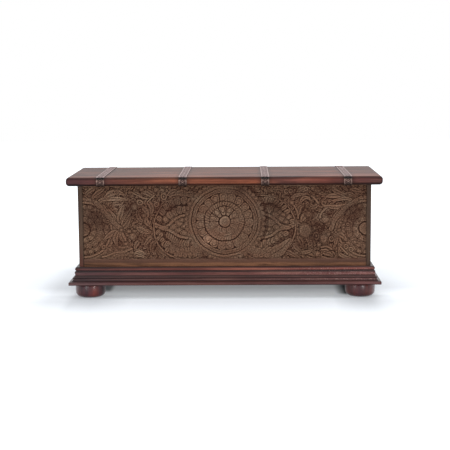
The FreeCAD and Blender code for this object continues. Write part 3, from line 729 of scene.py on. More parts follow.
RIGHT_LOWER = ((158, 213, 13, 9, 1.5, 2), (175, 216, 14, 9, 1.4, 2), (190, 224, 14, 9, 1.2, 2),
               (204, 235, 15, 10, 1.0, 0), (221, 246, 14, 9, 0.8, 3), (238, 249, 13, 9, 0.6, 3),
               (140, 207, 13, 9, 1.6, 2), (163, 197, 9, 7, 0.4, 0), (110, 181, 12, 10, 0.3, 2),
               (131, 183, 13, 11, 0.2, 3), (153, 180, 13, 11, 0.0, 2), (172, 186, 12, 9, 0.6, 2),
               (144, 164, 12, 8, 0.1, 2), (166, 165, 12, 8, 0.1, 2), (122, 165, 11, 8, -0.2, 2))


def carve_lobes(carver, lobes, top):
    """Lobes of an eye medallion: ribbed, or plain with a groove."""
    for x, z, length, width, turn, ribs in lobes:
        carver.lobe((x, z), length * LENGTH_GAIN, width * WIDTH_GAIN, turn, top, ribs=ribs,
                    groove=0 if ribs else LOBE_GROOVE)


def carve_eye(carver, side):
    """Large round medallion beside the central one, split by a forked stem."""
    centre = (side * EYE[0], EYE[1])
    carver.lower(centre, EYE_RADIUS, 0.6)
    carver.ring(centre, EYE_RADIUS - 6, EYE_RADIUS, top=0.82, shoulder=2.5, foot=0.5, share=0.8)
    if side < 0:
        carve_lobes(carver, LOWER_LOBES, 0.85)
        carver.fan(FAN_ROOT, FAN_EDGE, 11)
        carve_lobes(carver, OUTER_LOBES, 0.85)
        carve_lobes(carver, INNER_LOBES, 0.95)
        carve_lobes(carver, LEFT_BERRIES, 0.92)
        for x, z, radius in LEFT_RINGS:
            carver.lobe((x, z), radius, radius, ring=0.55, shoulder=2.5)
    else:
        carver.leaf(RIGHT_LEAF, 46, top=0.85, veins=7.5)
        carve_lobes(carver, RIGHT_LOWER, 0.88)
        carve_lobes(carver, RIGHT_LOBES, 0.9)
    for points in (STEM_UPPER, STEM_LOWER):
        carver.ribbon(flipped(side, *points), 11, top=0.9, foot=0.55)
    carver.lobe(flipped(side, STEM_FORK)[0], 22, 8.5, 0.0, top=0.9, foot=0.65)


def carve_end_rosette(carver, side):
    """Half rosette that the end of the field cuts off."""
    centre = (side * END_ROSETTE[0], END_ROSETTE[1])
    carver.petals(centre, 114, 127, 34, top=0.75, round_end=0.4, foot=0.5)
    carver.ring(centre, 104, 113, top=0.8, shoulder=2.5, foot=0.6, share=0.6)
    carver.lower(centre, 102, 0.75)
    carver.petals(centre, 80, 101, 22, top=0.82, groove=3.6, round_end=0.5, foot=0.35)
    carver.petals(centre, 54, 80, 17, top=0.86, groove=3.8, round_end=0.4, foot=0.35, dish=0.12)
    carver.petals(centre, 28, 54, 11, top=0.9, groove=3.6, round_end=0.35, foot=0.4)
    carver.lower(centre, 29, 0.4)
    carver.lobe(centre, 25, 25, top=0.82, foot=0.5, shoulder=4)


# Foliage between the eye medallion and the end rosette. A leaf is its line, width and the distance from
# vein to vein, a line is its points, width and grooves, and a bead is x, z, length, width and ring.
LEFT_LEAVES = (
    (((-498, 372), (-462, 388), (-412, 388), (-350, 384)), 20, 0),
    (((-462, 398), (-440, 410), (-410, 414), (-380, 400)), 26, 0),
    (((-413, 290), (-428, 318), (-442, 338), (-456, 354)), 15, 0),
    (((-406, 286), (-408, 318), (-398, 348), (-384, 372)), 26, 7),
    (((-400, 282), (-384, 312), (-368, 338), (-354, 366)), 26, 8),
    (((-398, 272), (-384, 286), (-372, 304), (-362, 322)), 20, 6),
    (((-420, 262), (-440, 252), (-458, 240), (-474, 222)), 24, 0),
    (((-414, 262), (-424, 240), (-424, 222), (-416, 202)), 24, 0),
    (((-404, 256), (-400, 240), (-392, 224), (-384, 206)), 26, 0),
    (((-470, 428), (-490, 416), (-508, 398), (-516, 380)), 20, 6),
    (((-504, 432), (-520, 424), (-534, 412), (-542, 396)), 18, 5),
    (((-366, 404), (-352, 412), (-334, 406), (-312, 392)), 16, 5),
    (((-318, 414), (-300, 412), (-284, 402), (-270, 388)), 18, 5),
    (((-296, 380), (-284, 362), (-282, 344), (-290, 322)), 22, 6),
    (((-318, 356), (-306, 342), (-302, 324), (-308, 304)), 20, 6),
    (((-338, 340), (-336, 322), (-328, 306), (-314, 292)), 18, 5),
    (((-292, 284), (-302, 296), (-306, 306), (-304, 322)), 20, 6),
    (((-338, 274), (-322, 266), (-306, 258), (-288, 256)), 26, 8),
    (((-286, 240), (-296, 226), (-306, 212), (-320, 204)), 22, 6),
    (((-268, 222), (-280, 208), (-286, 190), (-282, 172)), 20, 6),
    (((-330, 226), (-344, 212), (-350, 196), (-346, 180)), 18, 5),
    (((-352, 176), (-332, 180), (-314, 172), (-298, 166)), 16, 0),
    (((-350, 162), (-330, 166), (-312, 158), (-296, 154)), 14, 0),
    (((-262, 196), (-248, 182), (-232, 170), (-212, 160)), 16, 4),
    (((-218, 404), (-206, 414), (-194, 420), (-178, 426)), 22, 5),
    (((-192, 402), (-176, 410), (-162, 416), (-146, 422)), 20, 5),
    (((-150, 404), (-136, 410), (-120, 412), (-100, 408)), 16, 5),
    (((-486, 164), (-460, 156), (-440, 158), (-420, 160)), 14, 4),
    (((-440, 150), (-420, 166), (-400, 172), (-380, 164)), 20, 5),
)
LEFT_LINES = (
    (((-404, 268), (-438, 304), (-468, 338), (-500, 374)), 19, 3),
    (((-478, 162), (-450, 168), (-424, 178), (-390, 182), (-362, 192)), 8, 0),
    (((-412, 200), (-396, 198), (-378, 200)), 7, 1),
    (((-360, 416), (-340, 404), (-318, 394), (-298, 390)), 7, 1),
    (((-298, 376), (-286, 390), (-272, 402)), 6, 0),
    (((-210, 398), (-180, 404), (-150, 405), (-116, 402)), 7, 1),
)
LEFT_BEADS = (
    (-418, 413, 10, 10, 0.55), (-367, 415, 8, 7, 0), (-320, 426, 9, 8, 0), (-263, 424, 9, 8, 0),
    (-235, 397, 13, 15, 0.7), (-351, 355, 14, 13, 0), (-327, 374, 15, 12, 0.6), (-263, 366, 11, 11, 0.5),
    (-357, 240, 16, 15, 0), (-386, 212, 12, 10, 0), (-330, 230, 8, 8, 0), (-275, 154, 8, 7, 0),
    (-310, 150, 8, 7, 0), (-448, 190, 9, 9, 0), (-474, 200, 9, 9, 0.5), (-372, 262, 10, 8, 0),
    (-348, 262, 9, 7, 0), (-456, 300, 9, 8, 0.5), (-474, 322, 8, 8, 0), (-490, 344, 8, 8, 0),
    (-404, 266, 9, 9, 0), (-315, 322, 9, 8, 0), (-364, 178, 8, 7, 0),
)
RIGHT_LEAVES = (
    (((488, 362), (458, 354), (424, 352), (388, 358), (372, 372)), 22, 0),
    (((470, 390), (440, 398), (404, 398), (372, 392)), 22, 0),
    (((500, 376), (474, 386), (440, 382), (410, 378)), 16, 0),
    (((420, 270), (424, 296), (434, 320), (452, 350)), 24, 8),
    (((412, 278), (404, 296), (394, 310), (380, 322)), 26, 6),
    (((436, 266), (444, 288), (456, 306), (472, 322)), 20, 6),
    (((432, 256), (450, 246), (466, 232), (478, 214)), 22, 0),
    (((426, 250), (434, 232), (434, 212), (428, 190)), 18, 0),
    (((446, 210), (452, 198), (450, 186), (442, 172)), 18, 0),
    (((404, 262), (396, 248), (386, 232), (380, 210)), 30, 7),
    (((340, 296), (356, 304), (366, 318), (368, 336)), 20, 6),
    (((300, 300), (310, 318), (326, 330), (346, 330)), 26, 0),
    (((286, 322), (288, 342), (298, 356), (314, 360)), 20, 5),
    (((330, 350), (348, 352), (362, 362), (366, 378)), 18, 5),
    (((296, 372), (308, 388), (326, 388), (340, 372)), 16, 0),
    (((262, 392), (282, 400), (304, 402), (328, 406)), 16, 0),
    (((286, 414), (300, 424), (318, 428), (336, 422)), 18, 5),
    (((352, 424), (366, 414), (382, 404), (402, 404)), 18, 0),
    (((420, 424), (440, 412), (458, 404), (478, 402)), 18, 5),
    (((490, 424), (506, 420), (524, 414), (540, 404)), 18, 5),
    (((476, 410), (492, 404), (508, 396), (524, 396)), 14, 4),
    (((286, 236), (298, 222), (304, 206), (302, 190)), 22, 6),
    (((318, 236), (330, 222), (334, 206), (326, 192)), 20, 0),
    (((268, 206), (280, 196), (292, 184), (298, 168)), 20, 6),
    (((300, 178), (316, 176), (332, 180), (346, 190)), 16, 0),
    (((250, 178), (266, 168), (282, 160), (300, 156)), 16, 4),
    (((316, 158), (330, 152), (344, 152), (356, 156)), 14, 4),
    (((380, 176), (398, 172), (414, 166), (428, 156)), 20, 5),
    (((376, 158), (392, 152), (410, 150), (428, 150)), 12, 0),
    (((446, 172), (460, 162), (478, 156), (500, 154)), 16, 0),
    (((190, 424), (208, 428), (226, 422), (244, 424)), 16, 4),
)
RIGHT_LINES = (
    (((414, 268), (428, 300), (450, 330), (478, 356), (512, 380)), 17, 3),
    (((376, 196), (394, 197), (408, 192), (418, 186)), 7, 1),
    (((378, 186), (392, 186), (404, 182)), 6, 0),
    (((400, 350), (386, 340), (376, 326), (372, 312)), 8, 1),
    (((262, 372), (276, 352), (284, 332), (286, 310)), 8, 1),
    (((340, 396), (352, 384), (362, 368)), 8, 0),
    (((450, 200), (464, 184), (478, 170)), 7, 0),
)
RIGHT_BEADS = (
    (314, 260, 27, 29, 0), (357, 239, 12, 17, 0.75), (386, 229, 17, 20, 0), (417, 227, 11, 13, 0.6),
    (393, 303, 15, 14, 0), (326, 326, 16, 14, 0), (367, 206, 9, 9, 0), (361, 170, 13, 12, 0),
    (474, 197, 11, 11, 0.55), (493, 186, 11, 11, 0.55), (506, 215, 12, 9, 0), (240, 417, 10, 11, 0.6),
    (258, 417, 10, 10, 0.5), (317, 423, 9, 9, 0.55), (263, 371, 11, 10, 0), (342, 427, 8, 8, 0),
    (366, 418, 9, 9, 0), (344, 292, 9, 8, 0), (452, 292, 8, 8, 0), (462, 272, 9, 8, 0),
    (444, 262, 9, 8, 0), (334, 208, 10, 9, 0.5), (340, 232, 9, 8, 0), (352, 270, 9, 9, 0),
    (470, 300, 8, 8, 0), (408, 290, 8, 8, 0), (480, 286, 8, 8, 0.5),
)


def carve_spray(carver, leaves, lines, beads):
    """Foliage of one half."""
    for points, width, veins in leaves:
        carver.leaf(points, width, veins=veins)
    for points, width, grooves in lines:
        carver.ribbon(points, width, grooves=grooves)
    for x, z, length, width, ring in beads:
        carver.lobe((x, z), length, width, top=0.9, ring=ring, groove=0 if ring else LOBE_GROOVE)


# Places where the ground goes deeper: x, z and radius; and how much deeper
HOLLOW_SHARE = 0.45
HOLLOWS = ((-510, 325, 42), (-530, 280, 26), (-470, 290, 24), (-365, 370, 30), (-372, 340, 22),
           (-330, 330, 24), (-405, 215, 20), (-330, 235, 26), (-250, 350, 26), (-205, 355, 24),
           (-280, 200, 22), (-195, 205, 20), (200, 358, 30), (170, 362, 24), (326, 335, 30), (352, 285, 24),
           (345, 230, 22), (382, 262, 22), (425, 240, 22), (380, 420, 30), (270, 420, 26), (490, 335, 34),
           (525, 345, 24), (505, 300, 26), (300, 205, 24), (410, 330, 22), (-120, 420, 22), (60, 425, 24),
           (-90, 165, 20), (100, 165, 22))
# Places of the eye medallions and the foliage that are worn: x, z and radius; and how far they are
WORN_SHARE = 0.55
WORN = ((-172, 176, 34), (-132, 178, 34), (-204, 196, 24), (124, 176, 34), (160, 178, 34), (-436, 168, 34),
        (-388, 180, 26), (-200, 268, 26), (-196, 306, 22), (208, 268, 26), (200, 306, 22))
# Broad light and dark patches of the patina, and one painted highlight on the gadroons at the medallion's
# lower left, the patch with the largest gain: x, z, radius and gain
PATINA_PATCHES_AND_HIGHLIGHT = ((-505, 315, 50, -0.3), (-170, 365, 50, -0.25), (190, 360, 45, -0.25), (172, 290, 60, -0.25),
           (342, 245, 55, -0.25), (495, 340, 50, -0.2), (-421, 372, 36, 0.2), (-300, 262, 45, 0.15),
           (-66, 224, 24, 0.8), (418, 372, 40, 0.2), (-365, 335, 30, -0.2), (-330, 200, 40, 0.1),
           (500, 200, 45, 0.1), (60, 425, 40, -0.15), (-20, 245, 34, 0.15))


def patched(across, up):
    """How light the patina is at each point of the field, 1 on the whole; the brightest patch is a painted
    highlight.
    """
    x, z = np.meshgrid(across / MM, up / MM)
    light = 1
    for a, b, radius, gain in PATINA_PATCHES_AND_HIGHLIGHT:
        light = light + gain * np.exp(-((x - a) ** 2 + (z - b) ** 2) / radius ** 2)
    return light


def carved_heights(across, up, settings):
    """The whole relief: heights as shares of the depth."""
    carver = Carver(across / MM, up / MM, settings)
    carve_ground(carver, settings.sprig_spacing / MM, settings.seed)
    for side in (-1, 1):
        carve_end_rosette(carver, side)
    carve_spray(carver, LEFT_LEAVES, LEFT_LINES, LEFT_BEADS)
    carve_spray(carver, RIGHT_LEAVES, RIGHT_LINES, RIGHT_BEADS)
    for side in (-1, 1):
        carve_eye(carver, side)
    carve_medallion(carver)
    for x, z, radius in HOLLOWS:
        carver.sink((x, z), radius, HOLLOW_SHARE)
    for x, z, radius in WORN:
        carver.rub((x, z), radius, WORN_SHARE)
    grain = np.random.default_rng(settings.seed).normal(size=carver.height.shape)
    marks = softened(grain, 4) - softened(grain, 16)
    marks = np.clip(marks / marks.std() / 2, -1, 1)
    height = np.clip(carver.height + settings.chisel * (marks - 0.5), 0, 1)
    # The carving runs out to the plain strip at its foot along an uneven line
    x, z = np.meshgrid(carver.across, carver.up - carver.up[0])
    run_out = 3 + 1.5 * np.sin(x / 29) + 1.5 * np.sin(x / 11 + 2)
    return 1 - (1 - height) * np.clip((z - run_out) / 3 + 0.5, 0, 1)


def softened(field, times=1):
    """The field with each cell averaged with its neighbours."""
    for _ in range(times):
        edged = np.pad(field, 1, mode="edge")
        field = (edged[:-2, 1:-1] + edged[2:, 1:-1] + edged[1:-1, :-2] + edged[1:-1, 2:]
                 + 4 * edged[1:-1, 1:-1]) / 8
    return field


# Finish of the carved front. A table of shares has the stops of a ramp: how far along it a stop is, and
# the grey or colour there. A span is the start and the end of a ramp, from the field's foot, head or end.
RELIEF_SHARES = ((0.05, 0.0), (0.4, 0.55), (0.8, 0.9), (1.0, 1.0))
EDGE_WEAR_AND_SHADING_SHARES = ((0.25, 0.35), (0.5, 0.93), (0.72, 1.65))
PATINA_AND_HIGHLIGHT_SHARES = ((0.25, 0.5), (0.5, 1.0), (1.0, (2.0, 2.15, 2.3)))
STRIP_SHARES = ((0.3, display(58, 36, 25)), (0.45, display(98, 66, 47)), (0.6, display(126, 86, 62)),
                (0.75, display(84, 53, 38)))
BRINK_SHARES = ((0.1, 0.0), (0.4, 0.9), (0.8, 0.9), (1.0, 0.0))
HEAD_LIGHT_SHARES = ((0.0, 1.0), (0.5, 1.2), (1.0, 1.2))
STRIP_SPAN = (4 * MM, -6 * MM)
BRINK_SPAN = (-16 * MM, 8 * MM)
HEAD_SPAN = (-16 * MM, -2 * MM)
END_REACH = 4 * MM
STRIP_SHADE_START = 150 * MM
GRIT_DEPTH = 0.6 * MM
CHISEL_DEPTH = 0.8 * MM


def carved_finish():
    """Grey-brown patina, dark in the cuts and rubbed on the high places, with painted shade in the cuts,
    painted highlights on the crests and the medallion, and painted light on the head under the lid, over a
    plain strip at the foot.
    """
    made = Finish("carved_wood", 0.6)
    made.set("Specular IOR Level", 0.15)
    relief = made.marked("carved_height")
    broad = made.noise(made.stretched((1, 2, 2)), 9.0, 4.0, 0.6, 0.6)
    clouds = made.noise(made.place, 7.0, 3.0, 0.6)
    dust = made.noise(made.place, 13.0, 3.0, 0.6, 0.4)
    grit = made.noise(made.place, 240.0, 3.0, 0.7)
    streaks = made.noise(made.stretched((1, 12, 12)), 30.0, 3.0)
    figure = made.noise(made.stretched((1, 9, 9)), 5.0, 5.0, 0.65, 1.2)
    high = made.mix(clouds, display(106, 82, 62), display(97, 70, 56))
    high = made.mix(made.ramp(broad, (0.42, 0.0), (0.62, 0.5)), high, display(102, 70, 52))
    high = made.mix(made.ramp(dust, (0.5, 0.0), (0.66, 0.5)), high, display(118, 97, 79))
    high = made.mix(0.3, high, made.ramp(streaks, (0.3, 0.6), (0.7, 1.1)), "MULTIPLY")
    deep = made.mix(clouds, display(54, 30, 18), display(68, 34, 22))
    made.set("Base Color", made.mix(made.ramp(relief, *RELIEF_SHARES), deep, high))
    # Darker in the cuts and lighter on the crests: patina and wear, with painted shade in the cuts and
    # painted highlights on the crests
    made.tint(made.marked("carved_wear_and_shading"), *EDGE_WEAR_AND_SHADING_SHARES)
    # Patina patches, with a painted highlight on the medallion's lower left
    made.tint(made.marked("carved_tone_and_highlight"), *PATINA_AND_HIGHLIGHT_SHARES)
    (_, foot), (end, head) = field_span()
    strip = made.between("Z", *(foot + way for way in STRIP_SPAN))
    made.layer(strip, made.ramp(figure, *STRIP_SHARES))
    brink = made.between("Z", *(foot + way for way in BRINK_SPAN))
    made.layer(made.ramp(brink, *BRINK_SHARES), display(82, 54, 42))
    side = made.sum("ABSOLUTE", made.along("X"))
    made.tint(made.span(side, end - END_REACH, PANEL_HIGH.x), (0.0, 1.0), (0.6, 0.35))
    made.tint(made.span(side, STRIP_SHADE_START, PANEL_HIGH.x), (0.0, 1.0), (1.0, 0.45),
              share=made.sum("MULTIPLY", strip, 0.5))
    # Painted light: the head of the field, in the lid's shadow, is lightened
    made.tint(made.between("Z", *(head + way for way in HEAD_SPAN)), *HEAD_LIGHT_SHARES)
    made.tint(grit, (0.35, 0.5), (0.6, 1.1), share=0.35)
    made.set("Roughness", made.ramp(relief, (0.0, 0.85), (1.0, 0.55)))
    made.set("Normal", made.bump(grit, 0.3, GRIT_DEPTH, made.bump(streaks, 0.25, CHISEL_DEPTH)))
    return made


# How often the relief is softened to find what stands out from its near and its far surroundings
NEAR_PASSES = 6
FAR_PASSES = 40


def board_mesh(x, y, z):
    """Points and faces of the front board: its face from a grid of points, then its edges and its back."""
    front = np.stack([x, y, z], -1).reshape(-1, 3)
    index = np.arange(x.size).reshape(x.shape)
    rim = np.concatenate([index[0, :-1], index[:-1, -1], index[-1, :0:-1], index[:0:-1, 0]])
    back = front[rim]
    back[:, 1] = PANEL_HIGH.y
    behind = len(front) + np.arange(len(rim))
    sides = np.stack([rim, behind, np.roll(behind, -1), np.roll(rim, -1)], -1)
    faces = [*grid_faces(index).tolist(), *sides.tolist(), behind.tolist()[::-1]]
    return np.concatenate([front, back]).tolist(), faces, len(rim)


class CHEST_OT_carved_front(bpy.types.Operator):
    """Carve the front board"""
    bl_idname = "chest.carved_front"
    bl_label = "Carved front"

    def execute(self, context):
        settings = context.scene.chest_carving
        low, high = field_span()
        across = np.linspace(low[0], high[0], round((high[0] - low[0]) / settings.cell) + 1)
        up = np.linspace(low[1], high[1], round((high[1] - low[1]) / settings.cell) + 1)
        height = softened(carved_heights(across, up, settings))
        height[[0, -1], :] = 1
        height[:, [0, -1]] = 1
        lip = settings.cell / 2
        across = np.concatenate(([PANEL_LOW.x, low[0] - lip], across, [high[0] + lip, PANEL_HIGH.x]))
        up = np.concatenate(([PANEL_LOW.z, low[1] - lip], up, [high[1] + lip, PANEL_HIGH.z]))
        # What stands out from its surroundings turns lighter in the finish and what is sunk turns darker:
        # wear and patina, with painted highlight and painted shade
        near = height - softened(height, NEAR_PASSES)
        edge = np.pad(0.7 * near + height - softened(height, FAR_PASSES), 2)
        height = np.pad(height, 2, constant_values=1)
        x, z = np.meshgrid(across, up)
        points, faces, rim = board_mesh(x, PANEL_LOW.y + settings.depth * (1 - height), z)
        board = mesh_piece("carved_front", points, faces, carved_finish(), "case",
                           ["front_panel"])
        marks = {"carved_height": height, "carved_wear_and_shading": 0.5 + 0.8 * edge,
                 "carved_tone_and_highlight": patched(across, up) / 2}
        for name, field in marks.items():
            mark(board, name, np.concatenate([field.ravel(), np.ones(rim)]))
        board.data.polygons.foreach_set("use_smooth", np.arange(len(faces)) < len(faces) - rim - 1)
        return {"FINISHED"}


# Wooden parts that keep their CAD shape

def strap_places():
    """The middle of each strap along the chest."""
    spans = [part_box(node) for node in named("lid_strap")]
    return [(low.x + high.x) / 2 for low, high in spans]


# Lid: painted light along the chest, painted shade and highlights up the nose, and a painted sheen from the
# front of its top to the back
LID_LIGHT_FALLOFF_SHARES = (
    (0.02, display(150, 142, 185)), (0.2, display(208, 198, 198)), (0.42, display(255, 238, 220)),
    (0.6, display(242, 218, 198)), (0.68, display(205, 198, 215)), (0.83, display(240, 212, 216)),
    (1.0, display(190, 192, 218)))
LID_NOSE_SHADE_AND_HIGHLIGHT_SHARES = ((0.0, 0.15), (0.2, 0.25), (0.32, 0.9), (0.4, 1.2), (0.48, 0.85), (0.58, 1.4), (0.7, 1.0),
                   (0.8, 0.5), (0.985, 0.25), (0.9999, 0.75))
LID_TOP_SHEEN_SHARES = ((0.05, 1.5), (0.3, 1.0), (1.0, 0.7))
# Where the lower nose is in painted shade on the right, and from where to where the painted shade beside a
# strap fades out, measured from the strap's middle
NOSE_SHADE_SPAN = (200 * MM, 450 * MM)
STRAP_SHADE_SPAN = (15 * MM, 32 * MM)
# Base moulding: painted shade and painted highlights up its profile, tints along the chest, and how much a
# place up the profile is chipped, from the span's start to its end
MOULDING_SHADE_AND_HIGHLIGHT_SHARES = (
    (0.0, 0.8), (0.05, 1.0), (0.09, 1.8), (0.14, 1.3), (0.2, 0.8), (0.245, 0.2), (0.28, 0.9), (0.31, 1.2),
    (0.34, 1.1), (0.39, 0.15), (0.43, 0.8), (0.46, 0.6), (0.49, (0.19, 0.14, 0.12)),
    (0.54, (0.85, 0.68, 0.6)), (0.58, 2.1), (0.64, 2.0), (0.7, 0.9), (0.755, 0.1), (0.8, (0.7, 0.6, 0.55)),
    (0.86, (3.4, 2.8, 2.4)), (0.92, (1.4, 1.1, 0.9)), (0.97, 0.5), (1.0, 0.4))
MOULDING_TINT_SHARES = (
    (0.0, (0.45, 0.58, 0.74)), (0.08, (0.62, 0.8, 0.98)), (0.14, (0.76, 0.9, 1.04)),
    (0.3, (0.82, 0.88, 0.92)), (0.55, (0.86, 0.92, 0.92)), (0.75, (0.98, 1.06, 1.1)),
    (0.86, (1.15, 1.25, 1.3)), (0.94, (1.12, 1.22, 1.32)), (1.0, (0.75, 0.85, 0.98)))
BEAD_SHARES = ((0.24, 0.0), (0.3, 0.6), (0.36, 0.0), (0.5, 0.0), (0.6, 1.0), (0.72, 0.1), (0.8, 0.1),
               (0.87, 1.0), (0.95, 0.0))
CHIPPED_SPAN = (50 * MM, 400 * MM)
# Front edge of the left end board: where it turns red, over the board's foot
END_FOOT_SPAN = (160 * MM, 60 * MM)


def lid_finish():
    """Red-brown lacquer with painted light: orange in the middle and purple-dark towards the ends, painted
    shade and highlights along the noses, a painted sheen on the top and painted shade beside the straps.
    """
    made = wood("lid_wood", "x", LID_STAIN, gloss=0.4, coat=0.12, coat_gloss=0.2)
    low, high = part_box("lid_board_front")
    flat = made.facing("Z", 0.6, 1.0)
    # Painted light: the nose is lighter and orange in the middle, darker and purple towards the ends
    made.tint(made.between("X", low.x, high.x), *LID_LIGHT_FALLOFF_SHARES, share=made.span(flat, 1.6, 0.0))
    up = made.between("Z", low.z, high.z)
    # Painted shade under the nose and along its top edge, painted highlights across its middle
    made.tint(up, *LID_NOSE_SHADE_AND_HIGHLIGHT_SHARES)
    # Painted sheen: the top is lighter at the front and darker at the back
    made.tint(made.between("Y", low.y, -low.y), *LID_TOP_SHEEN_SHARES, share=flat)
    # Painted shade on the lower nose towards the right
    made.tint(up, (0.3, 0.78), (0.6, 1.0), share=made.between("X", *NOSE_SHADE_SPAN))
    # Painted shade beside each strap, not on the underside
    unless_below = made.facing("Z", -0.9, -0.5)
    for place in strap_places():
        away = made.sum("ABSOLUTE", made.sum("SUBTRACT", made.along("X"), place))
        made.tint(made.span(away, *STRAP_SHADE_SPAN), (0.0, 0.55), (1.0, 1.0), share=unless_below)
    broad = made.noise(made.stretched((1, 9, 9)), 5.0, 3.0, 0.5)
    made.tint(broad, (0.3, 0.6), (0.5, 1.0), (0.7, 1.45), share=0.8)
    return made


def moulding_finish(axis):
    """Dark purple-brown lacquer, with painted shade black in the quirks and painted highlights on the beads,
    chipped on the right.
    """
    made = wood("moulding_wood_" + axis, axis, MOULDING_STAIN, gloss=0.34, coat=0.4, coat_gloss=0.16)
    low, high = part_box("base_moulding_front")
    up = made.between("Z", low.z, high.z)
    # Painted shade in the quirks and painted highlights on the beads
    made.tint(up, *MOULDING_SHADE_AND_HIGHLIGHT_SHARES)
    made.tint(made.between("X", low.x, high.x), *MOULDING_TINT_SHARES)
    chips = made.ramp(made.noise(made.stretched((1, 1, 1.6)), 190.0, 2.0, 0.6), (0.56, 0.0), (0.63, 0.75))
    beads = made.sum("MULTIPLY", made.between("X", *CHIPPED_SPAN), made.ramp(up, *BEAD_SHARES))
    made.layer(made.sum("MULTIPLY", chips, beads), display(176, 146, 138))
    return made


def end_finish():
    """Dark brown; the front edges of the end boards are greyer, and the left one is redder at its foot."""
    made = wood("end_wood", "y", CASE_STAIN, gloss=0.45)
    low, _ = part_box("end_board_left_lower")
    edge = made.facing("Y", -0.5, -0.9)
    grain = made.noise(made.stretched((20, 20, 2)), 3.0, 4.0, 0.6)
    made.layer(edge, made.ramp(grain, (0.35, display(50, 35, 28)), (0.6, display(76, 57, 45))))
    foot = made.sum("MULTIPLY", edge, made.between("Z", *(low.z + way for way in END_FOOT_SPAN)))
    made.layer(made.sum("MULTIPLY", foot, made.between("X", 0, low.x)), display(80, 46, 38))
    return made


def foot_finish():
    """Glossy dark red lacquer with cool and warm patches."""
    made = wood("foot_wood", "z", FOOT_STAIN, gloss=0.3, coat=1.0, coat_gloss=0.26, coat_index=1.42)
    warm = made.noise(made.stretched((1, 1, 0.2)), 16.0, 1.0, 0.4)
    made.tint(warm, (0.42, (0.82, 0.9, 1.05)), (0.58, (1.5, 1.25, 0.8)))
    return made


class CHEST_OT_woodwork(bpy.types.Operator):
    """Stain and lacquer the lid, the case, the base moulding, the feet and the inside"""
    bl_idname = "chest.woodwork"
    bl_label = "Woodwork"

    def execute(self, context):
        paint(lid_finish(), *named("lid_board"))
        paint(wood("case_wood_x", "x", CASE_STAIN, gloss=0.45), *named("back_board"))
        paint(end_finish(), *named("end_board"))
        paint(moulding_finish("x"), "base_moulding_front", "base_moulding_back")
        paint(moulding_finish("y"), "base_moulding_left", "base_moulding_right")
        paint(foot_finish(), *named("foot_front", "foot_back"))
        inner = {axis: wood("inner_wood_" + axis, axis, INNER_STAIN, gloss=0.62) for axis in "xyz"}
        paint(inner["z"], *named("corner_post"))
        paint(inner["y"], *named("bottom_board", "lid_batten", "bottom_cleat_left", "bottom_cleat_right"))
        paint(inner["x"], *named("foot_block", "bottom_cleat_front", "bottom_cleat_back"))
        return {"FINISHED"}


# Straps and nails

# Shape of a strap: how much longer than wide a cell of its mesh is, half the width of a cross's arm as a
# share of the pitch, the radii of the large and small studs in millimetres, and how high the arms and the
# small studs are beside the large ones
CELL_STRETCH = 1.3
ARM_SHARE = 0.085
STUD_RADIUS = 3.0
BUD_RADIUS = 2.4
ARM_HEIGHT_SHARE = 0.75
BUD_HEIGHT_SHARE = 0.9


def lid_section(step, nose):
    """Points, outward normals and distance from the middle along the lid's section, rear to front."""
    low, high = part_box("lid_board_front")
    centre = -low.y - nose
    bottom = low.z + nose
    top = high.z - nose
    quarter = math.pi / 2
    bends = (((centre, bottom), -quarter), ((centre, top), 0), ((-centre, top), quarter),
             ((-centre, bottom), 2 * quarter))
    points = []
    normals = []
    for middle, start in bends:
        for angle in np.linspace(start, start + quarter, round(nose * quarter / step) + 1):
            points.append(around(middle, nose, angle))
            normals.append((math.cos(angle), math.sin(angle)))
    filled = [points[0]]
    facing = [normals[0]]
    for point, normal in zip(points[1:], normals[1:]):
        gap = math.dist(filled[-1], point)
        count = max(1, round(gap / step))
        start = np.array(filled[-1])
        for number in range(1, count + 1):
            filled.append(tuple(start + (np.array(point) - start) * number / count))
            facing.append(normal)
    path = np.array(filled)
    gone = np.concatenate(([0], np.cumsum(np.hypot(*np.diff(path, axis=0).T))))
    return path, np.array(facing), gone - gone[-1] / 2


def dome(away, radius):
    """Height of a round stud at a distance from its middle, 1 at most; its radius is in millimetres."""
    return np.clip(1 - away / radius / MM, 0, 1) ** 0.5


def embossed(along, across, width, settings):
    """Height over the strap's floor: beaded rims, and crosses with studs in the channel."""
    side = np.abs(across)
    channel = width / 2 - settings.rim_width
    rim = (side - channel) / (settings.rim_width / 2) - 1
    bead = np.abs(np.sin(math.pi * along / settings.bead_pitch + rim * 0.9))
    rims = np.sqrt(np.clip(1 - rim ** 2, 0, 1)) * (0.5 + 0.5 * bead) * settings.rim_height
    step = (along / settings.motif_pitch + 0.5) % 1 - 0.5
    arms = np.exp(-((np.abs(across / channel / 2) - np.abs(step)) / ARM_SHARE) ** 2)
    stud = dome(np.hypot(step * settings.motif_pitch, across), STUD_RADIUS)
    half = (along / settings.motif_pitch) % 1 - 0.5
    bud = dome(np.hypot(half * settings.motif_pitch, side), BUD_RADIUS)
    form = np.maximum(np.maximum(arms * ARM_HEIGHT_SHARE, stud), bud * BUD_HEIGHT_SHARE)
    motif = np.clip(form * settings.motif_height, 0, settings.rim_height)
    return np.where(side > channel, rims, motif * np.clip((channel - side) / MM, 0, 1))


# Metal of the straps up the lid's nose: painted shade, darkest in the bend at the top and least across the
# middle
STRAP_NOSE_SHADE_SHARES = (
    (0.0, (0.14, 0.12, 0.1)), (0.15, (0.2, 0.17, 0.14)), (0.35, (0.36, 0.3, 0.26)), (0.5, (0.54, 0.45, 0.38)),
    (0.62, (0.6, 0.5, 0.42)), (0.78, (0.12, 0.11, 0.1)), (0.84, 0.05), (0.98, 0.05), (0.9999, 1.0))
RUST_DEPTH = 0.3 * MM


